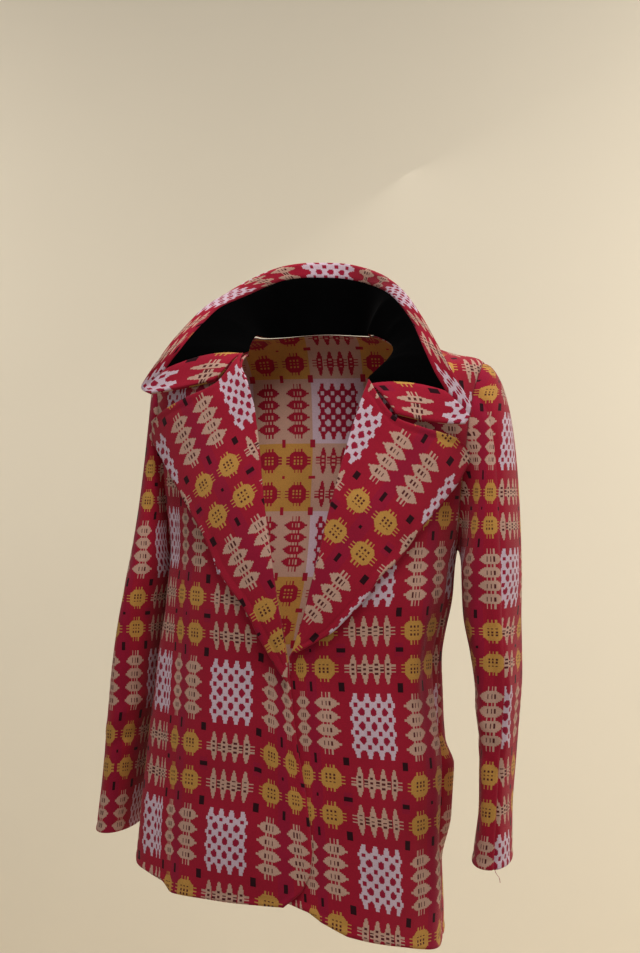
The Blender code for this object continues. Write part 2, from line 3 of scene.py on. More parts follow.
import bmesh
import bpy
import numpy as np
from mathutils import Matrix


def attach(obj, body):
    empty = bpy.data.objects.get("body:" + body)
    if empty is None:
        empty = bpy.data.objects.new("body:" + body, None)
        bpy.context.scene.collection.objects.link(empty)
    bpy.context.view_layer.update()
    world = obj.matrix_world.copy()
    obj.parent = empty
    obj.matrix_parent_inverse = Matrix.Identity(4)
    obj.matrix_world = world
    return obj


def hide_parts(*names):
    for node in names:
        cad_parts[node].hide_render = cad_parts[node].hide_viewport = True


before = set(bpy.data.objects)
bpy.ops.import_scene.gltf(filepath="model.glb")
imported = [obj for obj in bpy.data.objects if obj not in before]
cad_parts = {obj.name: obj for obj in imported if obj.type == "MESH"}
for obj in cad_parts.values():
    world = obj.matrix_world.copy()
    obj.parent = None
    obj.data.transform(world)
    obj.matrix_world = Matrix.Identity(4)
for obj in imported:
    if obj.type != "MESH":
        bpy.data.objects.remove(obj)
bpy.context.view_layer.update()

# Cloth sizes, in metres
WOOL = 0.0022
VELVET = 0.0014
SEAM = 0.0003
LAYER_GAP = 0.0004
RIM_ROUND = 0.0009
SEAM_DIP = 0.0011
SEAM_DIP_WIDTH = 0.0035
EDGE_BEAD = 0.0005
EDGE_BEAD_AT = 0.006

# Body sections from the neck to below the hem, in millimetres
# Columns: z_front, z_side, z_back, shift, half, front, back, square
BODY = np.array([
    (-35, 12, 20, -9, 69, 125, 68, 2.5),
    (-60, 0, 3, 0, 120, 118, 86, 2.3),
    (-85, -13, -22, 0, 162, 115, 100, 2.2),
    (-108, -24, -50, 0, 197, 116, 110, 2.2),
    (-130, -60, -85, 0, 202, 120, 116, 2.2),
    (-155, -115, -125, 0, 197, 127, 118, 2.2),
    (-195, -180, -180, -2, 183, 135, 116, 2.3),
    (-245, -245, -245, -4, 169, 139, 110, 2.4),
    (-300, -300, -300, -9, 167, 139, 103, 2.4),
    (-340, -340, -340, -16, 166, 136, 99, 2.4),
    (-380, -380, -380, -22, 167, 133, 97, 2.4),
    (-440, -440, -440, -25, 174, 133, 104, 2.4),
    (-500, -500, -500, -27, 180, 135, 113, 2.4),
    (-570, -570, -570, -33, 182, 138, 121, 2.3),
    (-640, -640, -640, -35, 184, 141, 127, 2.3),
    (-700, -700, -700, -36, 185.5, 143, 131, 2.3),
]) / ([1000] * 7 + [1])
SIDE_HEIGHT = 1
SHOULDER_TIP_ROW = 3
UNDERARM_ROW = 7
LEVEL_ROW = 12
HEM_ROW = 14

# Drape folds down the body, as on the solids, in degrees and millimetres
# Columns: angle_top, angle_hem, height, spread, start, full, end
FOLDS = np.array([
    (-66, -62, 7, 9, -150, -300, -900),
    (-84, -82, -6, 8, -250, -500, -900),
    (-104, -108, 12, 10, -380, -620, -900),
    (58, 72, 8, 8, -200, -340, -900),
    (80, 92, -5, 8, -240, -420, -760),
    (97, 97, 10, 6, -470, -500, -620),
    (-30, -28, -3, 12, -360, -550, -900),
    (30, 34, -3, 11, -360, -550, -900),
    (128, 124, -5, 12, -300, -600, -900),
    (150, 148, 6, 11, -340, -600, -900),
    (-172, -178, -4, 13, -300, -600, -900),
    (-146, -144, 6, 11, -340, -600, -900),
    (-126, -127, -4, 9, -300, -600, -900),
    # Finer creases that only the cloth's face shows
    (74, 80, 2.2, 3, -260, -360, -600),
    (82, 89, -5, 4, -220, -310, -620),
    (66, 68, -3, 3.5, -280, -380, -900),
    (44, 47, 1.2, 6, -340, -460, -800),
    (104, 103, -3, 3, -480, -510, -600),
    (-74, -73, 1.8, 3.5, -300, -420, -900),
    (-50, -48, -1.2, 5, -300, -450, -900),
    (-95, -97, -2.5, 4, -450, -580, -900),
    (-158, -160, 1.6, 5, -260, -440, -900),
    (140, 137, -1.8, 5, -300, -480, -900),
    (170, 168, 1.5, 6, -200, -400, -800),
    (-136, -133, -1.4, 4, -320, -500, -800),
]) / [1, 1, 1000, 1, 1000, 1000, 1000]
# Slow unevenness of hanging cloth. Columns: waves round the body, waves down a metre, phase, height
UNEVEN = [(5, 3.1, 0.4, 0.0007), (9, -4.3, 2.1, 0.0005), (14, 7.7, 4.4, 0.0003), (3, 12, 1.3, 0.0003)]
FOLDS_FROM = -0.25
FOLDS_TO = -0.64
UNEVEN_FROM = -0.12
UNEVEN_OVER = 0.1

# Height of the hem round the body, in millimetres. Columns: angle, height
HEM_RIGHT = [(-180, -650), (-135, -628), (-105, -610), (-90, -606), (-70, -607), (-58, -613),
             (-49, -621), (-45, -631), (-40, -631), (30, -632)]
HEM_LEFT = [(-20, -626), (12, -628), (20, -637), (26, -648), (36.5, -662), (50, -672), (60, -680),
            (70, -690), (80, -696), (90, -696), (120, -688), (150, -665), (180, -650)]

# Front edges. Columns: row, angle
RIGHT_EDGE = [(0, -41), (1, -31), (2, -27), (3, -24.5), (4, -21.6), (5, -18.2), (6.2, -12.6),
              (7.5, -6.2), (9, 2.4), (9.8, 6.2), (10.5, 8.6), (11.5, 12.8), (12.2, 16.8), (12.7, 19.7),
              (13.1, 21.2), (13.45, 20.6), (13.75, 17), (14, 9.5)]
LEFT_EDGE = [(0, 41), (1.5, 37), (2, 35), (3, 31), (4, 26.4), (5.2, 20.8), (6.4, 15.4), (7.7, 10.3),
             (9.2, 7), (9.9, 3), (11, 0.5), (12, -1), (13, -3), (14, -4)]
LEFT_NECK_DROP = 1.5
LEFT_ROLL_ANGLE = 37.0
OVERLAP_LIFT = WOOL + 0.0008
OVERLAP_FROM = -48.0
OVERLAP_FULL = -14.0

ARMHOLE_ANGLE = 16.5
ARMHOLE_ROW = 0.5 * (SHOULDER_TIP_ROW + UNDERARM_ROW)
ARMHOLE_ROWS = 0.5 * (UNDERARM_ROW - SHOULDER_TIP_ROW)
ARMHOLE_STEPS = 10

# Sleeve sections below the cap, in millimetres. Columns: z, x, y, across, deep
LEFT_SLEEVE = np.array([
    (-275, 205.5, 2, 34.5, 77),
    (-320, 206.5, 0, 33, 74),
    (-360, 211, -3, 29.5, 71),
    (-400, 214, -5, 26.5, 68),
    (-465, 213.5, -6, 22, 64),
    (-535, 211, -6, 19, 60),
    (-575, 208.5, -6, 21, 58),
    (-600, 207, -7, 22.8, 57),
]) / 1000
RIGHT_SLEEVE = np.array([
    (-275, -206, 6, 28.5, 76),
    (-320, -216.5, 6, 29, 74),
    (-360, -224, 6, 29, 71),
    (-400, -230.5, 7, 28, 68),
    (-465, -239.5, 10, 25.5, 64),
    (-520, -247, 13, 23.5, 60),
    (-565, -254.5, 15, 22.5, 58),
    (-588, -258, 16, 22.2, 57),
]) / 1000
SLEEVE_SQUARE = 2.2
CAP_DOWN = 0.48
LEFT_CAP = (0.14, 0.35)
RIGHT_CAP = (0.05, 0.80)

# Creases of the sleeves: share round the section (0 outwards, 0.25 in front) at the top and at the
# bottom, height, half width as a share, and the sections where they start and end
# Columns: share_top, share_bottom, height, spread, start, end
LEFT_SLEEVE_CREASES = [
    (0.2, 0.16, 0.004, 0.03, 0.3, 5.5),
    (0.27, 0.24, -0.003, 0.03, 0.6, 5),
    (0.34, 0.33, 0.0025, 0.035, 1.2, 7),
    (0.05, 0.04, -0.0022, 0.045, 1.8, 6.5),
    (0.74, 0.78, 0.003, 0.04, 1, 6),
    (0.66, 0.64, -0.0022, 0.035, 1.5, 6.5),
]
RIGHT_SLEEVE_CREASES = [
    (0.2, 0.22, 0.0032, 0.035, 0.4, 5),
    (0.13, 0.1, -0.0025, 0.035, 0.9, 6),
    (0.3, 0.32, -0.0025, 0.035, 1.2, 6.5),
    (0.78, 0.75, 0.003, 0.04, 1, 6),
    (0.9, 0.94, -0.002, 0.045, 1.5, 6.5),
]
# Each sleeve's seams, as shares round it, and the front one's line from the top to the cuff
FRONT_SEAM = 0.18
BACK_SEAM = 0.70
SEAM_SHARE = 0.0004
SLEEVE_SEAM_DIP = 0.0024
SLEEVE_SEAM_WIDTH = 0.010
LEFT_FRONT_SEAM = (0.165, 0.200)
RIGHT_FRONT_SEAM = (0.10, 0.10)
SLEEVE_LEVEL = -0.245
LOOSE_THREAD = [(0.2135, -0.0625, -0.597), (0.2160, -0.0645, -0.603), (0.2195, -0.0640, -0.608),
                (0.2205, -0.0630, -0.614)]
LOOSE_THREAD_RADIUS = 0.0003
# Short creases across a sleeve at the elbow. Columns: share, place, height, spread, length, slope
ELBOW_CREASES = [
    (0.3, 3.6, 0.0022, 0.16, 0.14, 2.2),
    (0.33, 4.1, -0.0018, 0.15, 0.13, 2),
    (0.62, 3.8, 0.0024, 0.18, 0.16, -1.8),
    (0.6, 4.5, -0.0018, 0.16, 0.13, -1.6),
]

# Lapels, as on the solids, in millimetres
# Columns of the tops: across, height. Of the sides: share, across, height
RIGHT_LAPEL_TOP = [(-72, -20), (-98, -53), (-130, -66), (-158, -78), (-174, -87)]
RIGHT_LAPEL_SIDE = [(0, -181, -97), (0.05, -184, -110), (0.1, -178, -121), (0.16, -166, -137),
                    (0.24, -150, -160), (0.36, -124, -197), (0.48, -103, -228), (0.6, -83, -267),
                    (0.73, -54, -303), (0.84, -37, -337), (0.93, -20, -366), (1, -8, -384)]
LEFT_LAPEL_TOP = [(77, -50), (105, -90), (134, -103), (154, -109), (170, -116)]
LEFT_LAPEL_SIDE = [(0, 177, -126), (0.05, 179, -136), (0.11, 174, -149), (0.2, 165, -168),
                   (0.34, 137, -208), (0.48, 111, -247), (0.6, 92, -267), (0.7, 77, -290),
                   (0.79, 61, -308), (0.87, 44, -326), (0.93, 26, -338), (1, 3, -351)]
RIGHT_LAPEL = (RIGHT_EDGE, 0.0, 9.75, RIGHT_LAPEL_TOP, RIGHT_LAPEL_SIDE)
LEFT_LAPEL = (LEFT_EDGE, LEFT_NECK_DROP, 9.3, LEFT_LAPEL_TOP, LEFT_LAPEL_SIDE)
LAPEL_CROWD = 1.1
LAPEL_GAP = 0.0012
LAPEL_PUFF = 0.0035
TIP_PUFF = 0.003
ROLL_PUFF = 0.0026
SWELL_OUT = 0.62
SWELL_FADE = 0.3
TIP_DOWN = 0.3
ROLL_DOWN = 0.2

# Collar stations, as on the solids, in degrees and millimetres
# Columns: angle, edge_x, edge_y, edge_z, bow
COLLAR = [
    (None, -184, -88, -60, -1),
    (None, -195, -83, -50, 3),
    (-41, -170, -88, -17, 10),
    (-66, -147, -67, 19, 12),
    (-95, -121, -32, 54, 12),
    (-135, -62, 48, 102, 8),
    (-180, 0, 80, 110, 6),
    (-225, 52, 48, 96, 8),
    (-265, 98, -14, 66, 12),
    (-287, 130, -58, 27, 12),
    (-306, 156, -86, -16, 10),
    (-323, 172, -87, -45, 8),
    (None, 190, -84, -80, 3),
    (None, 183, -88, -98, -3),
]
COLLAR_LAST = len(COLLAR) - 1.0
COLLAR_LIFT = 0.0006
GORGE_LIFT = 0.0022
GORGE_GAP = 0.0028
COLLAR_BAND = 0.023
# Soft folds of the velvet. Columns: station, half width, height
VELVET_FOLDS = [(3.2, 0.16, 0.0012), (4.3, 0.22, -0.001), (8.2, 0.18, 0.0016), (9.1, 0.12, 0.002),
                (9.7, 0.15, -0.0012), (10.5, 0.12, 0.0018)]
INLAY_AT_SEAM = 1.75
INLAY_AT_RIM = 1.40
MITRE_AT_EDGE = 0.60

# The woven repeat in millimetres: a wide and two narrow stripes each way
WIDE = 67.5
NARROW = 37.5
TALL = 84.5
LOW = 43.3
REPEAT_X = WIDE + 2 * NARROW
REPEAT_Y = TALL + 2 * LOW
STAR_X = 13.3
STAR_Y = 15.7
THREAD = 1.1
STEP_X = 1.1
STEP_Y = 1.3

# Grid spacing of the cloth's face, and the lengths of the pieces that it divides
GRID = 0.0034
PANEL_LENGTH = 0.72
FRONT_WIDTH = 0.27
BACK_WIDTH = 0.43
CAP_LENGTH = 0.10
TUBE_LENGTH = 0.33
SLEEVE_ROUND = 0.25
LAPEL_LENGTH = 0.36
LAPEL_WIDTH = 0.13
COLLAR_LENGTH = 0.52
COLLAR_HEIGHT = 0.09
VELVET_HEIGHT = 0.06
END_WIDTH = 0.03


# The stage, the camera and the lights
WALL_Y = 3.0
STAGE_HALF = 5.0
FLOOR_Z = -1.9
CAMERA_PLACE = (0.3535, -1.6629, -0.157)
CAMERA_TURN = 12.0
LENS = 53.5
SENSOR = 36.0
# Columns: name, place, aim, size, power, spread in degrees, colour
LIGHTS = [
    ("key", (0.36, -0.76, 1.29), (0, 0, -0.1), 0.7, 18, 180, (1, 0.96, 0.9)),
    ("fill", (-1.9, -1.6, 0.6), (0, 0, -0.2), 1.6, 2.6, 180, (0.95, 0.96, 1)),
    ("wash_right", (3.5, 1.5, 1.3), (1.6, 3, -0.1), 2.7, 96, 120, (1, 0.96, 0.89)),
    ("wash_left", (-3.3, 1.5, 1.3), (-1.8, 3, -0.4), 2.4, 24, 120, (1, 0.96, 0.89)),
    ("behind", (-0.9, 2.3, 1.5), (0, 0, -0.2), 1.6, 9, 180, (1, 0.96, 0.9)),
]
SKY = (0.95, 0.93, 0.90, 1.0)
SKY_STRENGTH = 0.22


def smooth(value):
    """Ease from 0 to 1."""
    value = np.clip(value, 0.0, 1.0)
    return value * value * (3 - 2 * value)


def row_at(table, place):
    """Values between the rows of a table, on a smooth curve through them."""
    last = len(table) - 1
    place = np.clip(np.asarray(place, dtype=float), 0.0, float(last))
    i = np.minimum(place.astype(int), last - 1)
    f = (place - i)[..., None]
    before = table[np.maximum(i - 1, 0)]
    here = table[i]
    after = table[i + 1]
    beyond = table[np.minimum(i + 2, last)]
    slope = (after - before) * f
    bend = (2 * before - 5 * here + 4 * after - beyond) * f * f
    twist = (3 * here - before - 3 * after + beyond) * f ** 3
    return 0.5 * (2 * here + slope + bend + twist)


def column(table, place, number=1):
    """One column of a table at places in its first, straight between its rows."""
    return np.interp(place, [row[0] for row in table], [row[number] for row in table])


def unit(vector):
    return vector / np.linalg.norm(vector, axis=-1, keepdims=True)


def running(steps, axis=0):
    """Running total of steps, from 0."""
    return np.insert(np.cumsum(steps, axis=axis), 0, 0.0, axis=axis)


def lengths(points, axis=0):
    """Distance along each line of points from its first one."""
    return running(np.linalg.norm(np.diff(points, axis=axis), axis=-1), axis)


def fold_height(angle, height):
    """How far drape folds, creases and unevenness push the cloth out."""
    total = np.zeros(np.broadcast(angle, height).shape)
    down = smooth((height - FOLDS_FROM) / (FOLDS_TO - FOLDS_FROM))
    for angle_top, angle_hem, rise, spread, start, full, end in FOLDS:
        centre = angle_top + (angle_hem - angle_top) * down
        away = (angle - centre + 180.0) % 360.0 - 180.0
        ramp = smooth((start - height) / (start - full)) * smooth((height - end) / (full - end) * 2)
        total += rise * ramp * np.exp(-(away / spread) ** 2)
    low = smooth((UNEVEN_FROM - height) / UNEVEN_OVER)
    for waves, turns, phase, rise in UNEVEN:
        total += low * rise * np.sin(np.radians(angle) * waves + height * 2 * math.pi * turns + phase)
    return total


def oval_radius(first, second, across, deep, square):
    """Radius of a squarish oval in a direction given by its sine and cosine."""
    return ((np.abs(first) / across) ** square + (np.abs(second) / deep) ** square) ** (-1 / square)


def body_point(angle, row):
    """Points of the body's outer face at angles (degrees, 0 in front) and body rows."""
    angle, row = np.broadcast_arrays(np.asarray(angle, dtype=float), np.asarray(row, dtype=float))
    z_front, z_side, z_back, shift, half, front, back, square = np.moveaxis(row_at(BODY, row), -1, 0)
    s = np.sin(np.radians(angle))
    c = np.cos(np.radians(angle))
    depth = np.where(c > 0, front, back)
    z_end = np.where(c > 0, z_front, z_back)
    z = z_side * s * s + z_end * c * c
    radius = oval_radius(s, c, half, depth, square) + fold_height(angle, z)
    return np.stack([shift + radius * s, -radius * c, z], axis=-1)


def body_normal(angle, row):
    """Outward direction of the cloth there."""
    step = 0.02
    row = np.maximum(row, 0.0)
    round_body = body_point(angle + 25 * step, row) - body_point(angle - 25 * step, row)
    down = body_point(angle, row + step) - body_point(angle, np.maximum(row - step, 0.0))
    return unit(np.cross(down, round_body))


def overlap_lift(angle, row):
    """The wearer's right front lies over the left one at the middle."""
    return OVERLAP_LIFT * smooth((angle - OVERLAP_FROM) / (OVERLAP_FULL - OVERLAP_FROM))


def no_lift(angle, row):
    return np.zeros(np.broadcast(angle, row).shape)


def find_front(x, z):
    """Angles and rows of the body's front at places across and up."""
    x, z = np.broadcast_arrays(np.asarray(x, dtype=float), np.asarray(z, dtype=float))
    angle = np.degrees(np.arctan2(x, 0.11))
    row = np.full(x.shape, 5.0)
    for _ in range(50):
        point = body_point(angle, row)
        miss = np.stack([x - point[..., 0], z - point[..., 2]], axis=-1)
        by_angle = (body_point(angle + 0.1, row) - point) / 0.1
        by_row = (body_point(angle, row + 0.01) - point) / 0.01
        det = by_angle[..., 0] * by_row[..., 2] - by_row[..., 0] * by_angle[..., 2]
        move_angle = (miss[..., 0] * by_row[..., 2] - by_row[..., 0] * miss[..., 1]) / det
        move_row = (by_angle[..., 0] * miss[..., 1] - miss[..., 0] * by_angle[..., 2]) / det
        angle = angle + np.clip(move_angle, -4, 4)
        row = np.clip(row + np.clip(move_row, -0.7, 0.7), 0.0, 14.9)
    return angle, row


def cloth_tables():
    """Lengths along the body's face from the front middle and from the underarm, for lookup."""
    angles = np.arange(-200.0, 200.5, 2.0)
    rows = np.arange(0.0, 15.01, 0.1)
    points = body_point(angles[None, :], rows[:, None])
    across = lengths(points, 1)
    down = lengths(points)
    return angles, rows, across - across[:, [len(angles) // 2]], down - down[[UNDERARM_ROW * 10]]


def cloth_place(tables, angle, row):
    """Metres across from the front middle and down from the underarm, on the body's face."""
    angles, rows, across, down = tables
    a = np.clip((angle - angles[0]) / 2.0, 0, len(angles) - 1.001)
    r = np.clip(row / 0.1, 0, len(rows) - 1.001)
    i = a.astype(int)
    j = r.astype(int)
    fa = a - i
    fr = r - j
    result = []
    for table in (across, down):
        top = table[j, i] * (1 - fa) + table[j, i + 1] * fa
        bottom = table[j + 1, i] * (1 - fa) + table[j + 1, i + 1] * fa
        result.append(top * (1 - fr) + bottom * fr)
    return result


def panel_rows(count):
    """Body rows of a panel, closer together where the armhole turns."""
    rows = [0.0, 0.45, 0.95, 1.5, 2.25]
    for i in range(ARMHOLE_STEPS + 1):
        rows.append(ARMHOLE_ROW - ARMHOLE_ROWS * math.cos(math.pi * i / ARMHOLE_STEPS))
    rows += [7.6, 8.3, 9.0, 9.75, 10.6, 11.4, 12.2, 12.8, 13.3, 13.7, 14.0]
    return np.interp(np.linspace(0, len(rows) - 1, count), range(len(rows)), rows)


def side_angle(row):
    """Angle from the front of a front panel's outer edge."""
    reach = np.clip((row - ARMHOLE_ROW) / ARMHOLE_ROWS, -1, 1)
    return 90.0 - ARMHOLE_ANGLE * np.sqrt(1 - reach * reach)


def trim(angle, row, towards):
    """Move a seam edge back by half the seam gap."""
    length = np.linalg.norm(body_point(angle + 0.5, row) - body_point(angle - 0.5, row), axis=-1)
    return angle + towards * 0.5 * SEAM / np.maximum(length, 0.001)


def lower_row(row, angle, hem):
    """Rows below the level row are stretched so that the last one is the hem."""
    heights = -BODY[LEVEL_ROW:, SIDE_HEIGHT]
    hem_row = np.interp(-column(hem, angle) / 1000, heights, range(LEVEL_ROW, len(BODY)))
    low = LEVEL_ROW + (row - LEVEL_ROW) / (HEM_ROW - LEVEL_ROW) * (hem_row - LEVEL_ROW)
    return np.where(row > LEVEL_ROW, low, row)


def edge_distance(points, sides):
    """Distance along the sheet from each point to the nearest of the named sides."""
    rows = lengths(points)
    cols = lengths(points, 1)
    away = {"top": rows, "bottom": rows[-1:] - rows, "start": cols, "end": cols[:, -1:] - cols}
    return np.minimum.reduce([away[side] for side in sides])


def quads_of(grid):
    return np.stack([grid[:-1, :-1], grid[1:, :-1], grid[1:, 1:], grid[:-1, 1:]], axis=-1).reshape(-1, 4)


def border(grid):
    """Entries round the border of a grid, the first repeated at the end."""
    return np.concatenate([grid[0], grid[1:, -1], grid[-1, -2::-1], grid[-2::-1, 0]])


def inside(grid):
    """Entries one step in from the border, in the same order."""
    rows, cols = grid.shape
    i = np.clip(np.arange(rows), 1, rows - 2)
    j = np.clip(np.arange(cols), 1, cols - 2)
    return border(grid[i][:, j])


def add_object(name, data):
    thing = bpy.data.objects.new(name, data)
    bpy.context.scene.collection.objects.link(thing)
    return thing


def make_mesh(name, outer, inner, cloth, materials, closed=False):
    """Cloth wall with rounded rims; a second material is its inner face's, a third its rims'."""
    rows, cols = outer.shape[:2]
    count = rows * cols
    index = np.arange(count).reshape(rows, cols)
    if closed:
        index = np.concatenate([index, index[:, :1]], axis=1)
    place = np.arange(cloth.shape[0] * cloth.shape[1]).reshape(cloth.shape[:2])
    faces = [quads_of(index), quads_of(index)[:, ::-1] + count]
    spots = [quads_of(place), quads_of(place)[:, ::-1]]
    out = outer.reshape(-1, 3)
    back = inner.reshape(-1, 3)
    points = [out, back]
    if closed:
        loops = [(index[0], index[1], place[0]), (index[-1], index[-2], place[-1])]
    else:
        loops = [(border(index), inside(index), border(place))]
    top = 2 * count
    for rim, step, spot in loops:
        away = unit(out[rim[:-1]] - out[step[:-1]])
        points.append(0.5 * (out[rim[:-1]] + back[rim[:-1]]) + away * RIM_ROUND)
        ring = top + np.arange(len(rim))
        ring[-1] = top
        faces.append(np.stack([rim[:-1], rim[1:], ring[1:], ring[:-1]], axis=-1))
        faces.append(np.stack([ring[:-1], ring[1:], rim[1:] + count, rim[:-1] + count], axis=-1))
        spots += [np.stack([spot[:-1], spot[1:], spot[1:], spot[:-1]], axis=-1)] * 2
        top += len(rim) - 1
    quads = np.concatenate(faces)
    spots = np.concatenate(spots)
    mesh = bpy.data.meshes.new(name)
    mesh.from_pydata(np.concatenate(points).tolist(), [], quads.tolist())
    for material in materials:
        mesh.materials.append(material)
    if len(materials) > 1:
        side = np.zeros(len(quads), dtype=np.int32)
        side[len(faces[0]):2 * len(faces[0])] = 1
        side[2 * len(faces[0]):] = 2 if len(materials) > 2 else 0
        mesh.polygons.foreach_set("material_index", side)
    layer = mesh.uv_layers.new(name="cloth")
    layer.data.foreach_set("uv", cloth.reshape(-1, 2)[spots.ravel()].astype(np.float32).ravel())
    solid = bmesh.new()
    solid.from_mesh(mesh)
    bmesh.ops.recalc_face_normals(solid, faces=solid.faces)
    solid.to_mesh(mesh)
    solid.free()
    mesh.shade_smooth()
    return add_object(name, mesh)


def relief(points, seams, edges):
    """Dip at seams and bead along turned edges, in metres off the face."""
    rise = np.zeros(points.shape[:2])
    if seams:
        rise -= SEAM_DIP * np.exp(-(edge_distance(points, seams) / SEAM_DIP_WIDTH) ** 2)
    if edges:
        away = edge_distance(points, edges)
        rise += EDGE_BEAD * np.exp(-((away - 0.4 * EDGE_BEAD_AT) / (0.5 * EDGE_BEAD_AT)) ** 2)
        rise -= EDGE_BEAD * np.exp(-((away - 1.6 * EDGE_BEAD_AT) / (0.3 * EDGE_BEAD_AT)) ** 2)
    return rise


def grid_count(length):
    return max(int(round(length / GRID)), 6)


# How the repeat lies on the pieces, in millimetres from the middle of a wide stripe and a tall one.
# The fronts, by how far down from the underarm; beyond a wide stripe's edge the cloth is drawn in.
# Columns: down, middle, level, slope, gather_across, gather_down
RIGHT_FRONT_GRAIN = [(28, -65.4, 158, 0.04, 0, 0), (70, -61.5, 157, 0.04, 0.01, 0.25),
                     (112, -53, 155.3, 0.04, 0.025, 0.4), (150, -51, 155, 0.04, 0.027, 0.42),
                     (176, -50, 154.8, 0.04, 0.02, 0.42), (207, -49.3, 154, 0.04, 0.016, 0.4),
                     (235, -49.1, 152.4, 0.04, 0.0125, 0.4), (272, -48.6, 151.6, 0.04, 0.0056, 0.25),
                     (335, -46.5, 150, 0.04, 0.0015, 0.22), (369, -45.1, 149.2, 0.04, 0, 0.14)]
LEFT_FRONT_GRAIN = [(63, 94.3, 191.5, 0, 0, 0), (107, 103, 191.5, 0.015, 0, 0),
                    (150, 109, 191.5, 0.045, 0, 0), (232, 117.1, 191.5, 0.13, 0, 0),
                    (280, 122, 191.5, 0.18, 0, 0), (320, 129.3, 191.5, 0.22, 0, 0),
                    (400, 136, 191.5, 0.31, 0, 0)]
GATHER_FROM = 33.0
SIDE_GATHER_FROM = -55.0
SIDE_GATHER = 0.022
SIDE_GATHER_TO = 45.0
SLOPE_TO = 40.0
# The sleeves, by height below the underarm, measured from the line between two narrow stripes
# Columns: down, line, level, stretch
RIGHT_SLEEVE_GRAIN = [(-100, -19, 10.9, 0.57), (-41, -15.6, 1, 0.57), (-10, -4.2, -1.4, 1),
                      (22, 0.2, -2, 1.25), (56, 3.6, -7.8, 1.28), (92, 9.2, -14.5, 1.28),
                      (131, 13.2, -16, 1.25), (179, 16, -15, 1.2), (220, 15.5, -13.5, 1.3),
                      (262, 13.5, -16, 1.35), (304, 14.5, -15, 1.35)]
LEFT_SLEEVE_GRAIN = [(-211, 91.5, -104, 1), (-185, 50.6, -121, 1), (-151, 24.6, -127.7, 1),
                     (-107, 0, -130.4, 1), (-70, -11, -134, 1), (-35, -15.8, -141, 1),
                     (49, -16, -145.5, 1), (86, -15.3, -148.6, 1), (119, -18, -158, 1),
                     (157, -22, -160, 1), (208, -23, -157.4, 1), (331, -25.7, -160, 1)]
# The same on the outer side of the left sleeve's front seam
LEFT_TOP_GRAIN = [(-211, 82, -104, 1), (-185, 41, -121, 1), (-151, 15, -127.7, 1),
                  (-107, -10, -130.4, 1), (-70, -21, -134, 1), (-20, -27, -141, 1), (30, -31, -145, 1),
                  (58, -42, -148, 1), (90, -56, -148, 1), (121, -62, -157, 1), (181, -72.3, -161, 1),
                  (246, -65.3, -160, 1), (288, -55.3, -160, 1), (338, -49.3, -162, 1)]
# How far round from its front line a sleeve keeps this grain, and over how much it straightens
FRONT_GRAIN_TO = 70.0
BACK_GRAIN_OVER = 130.0
# The lapels. Columns: offset, tilt in degrees and stretch across, then the same down
RIGHT_LAPEL_CLOTH = (-40.46, -32.4, 0.996, 198.39, -36.6, 1.059)
LEFT_LAPEL_CLOTH = (28.97, 35.1, 0.969, 163.1, 38.3, 1.072)
# The back's level, in metres below the underarm
BACK_LEVEL = 0.170
# The collar's bands are cut down the cloth. Of the outer one: places along it and down the repeat
RIM_PLACES = [(-385.0, -171.1), (-214.0, 0.0), (149.0, 342.2), (320.0, 513.3)]
# Of the bands at its ends: place down the repeat at the seam, and the stretch towards the tip
RIGHT_END = (77.5, 0.90)
LEFT_END = (92.0, 1.10)
END_OFFSET = 2.0


def lay(across, down, placing):
    """Cloth coordinates from metres on a piece, with the grain's tilt and stretch each way."""
    offset_u, tilt_u, stretch_u, offset_v, tilt_v, stretch_v = placing
    tilt_u = math.radians(tilt_u)
    tilt_v = math.radians(tilt_v)
    u = stretch_u * (across * math.cos(tilt_u) + down * math.sin(tilt_u)) + offset_u / 1000
    v = stretch_v * (down * math.cos(tilt_v) - across * math.sin(tilt_v)) + offset_v / 1000
    return np.stack([u, v], axis=-1)


def hang_front(across, down, grain):
    """Cloth coordinates of a front from its grain table."""
    down = down * 1000
    u = across * 1000 - column(grain, down)
    past = np.maximum(u - GATHER_FROM, 0)
    side = np.clip(SIDE_GATHER_FROM - u, 0, SIDE_GATHER_TO)
    v = down - column(grain, down, 2) - column(grain, down, 3) * np.minimum(u, SLOPE_TO)
    v = v - column(grain, down, 5) * past
    u = u + column(grain, down, 4) * past ** 2 - SIDE_GATHER * side ** 2
    return np.stack([u, v], axis=-1) / 1000


def hang_sleeve(across, down, grain):
    """Cloth coordinates of a sleeve from its grain table, which holds for its front."""
    down = down * 1000
    across = across * 1000
    front = (across - column(grain, down)) * column(grain, down, 3)
    u = across + (front - across) * (1 - smooth((np.abs(across) - FRONT_GRAIN_TO) / BACK_GRAIN_OVER))
    return np.stack([u - (WIDE / 2 + NARROW), down - column(grain, down, 2)], axis=-1) / 1000


def finish_sheet(node, faces, cloth, materials=None, closed=False,
                 strip=None):
    """A cloth piece in its node's place, whose solid is hidden; the cut's width and length, a strip's of
    one width, are worked out but not used.
    """
    thing = make_mesh(node + "_cloth", *faces, cloth, materials or (tapestry, reverse), closed)
    spans = np.ptp(cloth.reshape(-1, 2), axis=0)
    width, length = (math.ceil(float(span) * 1000) / 1000 for span in spans)
    width = strip or width
    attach(thing, "root")
    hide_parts(node)
    return thing


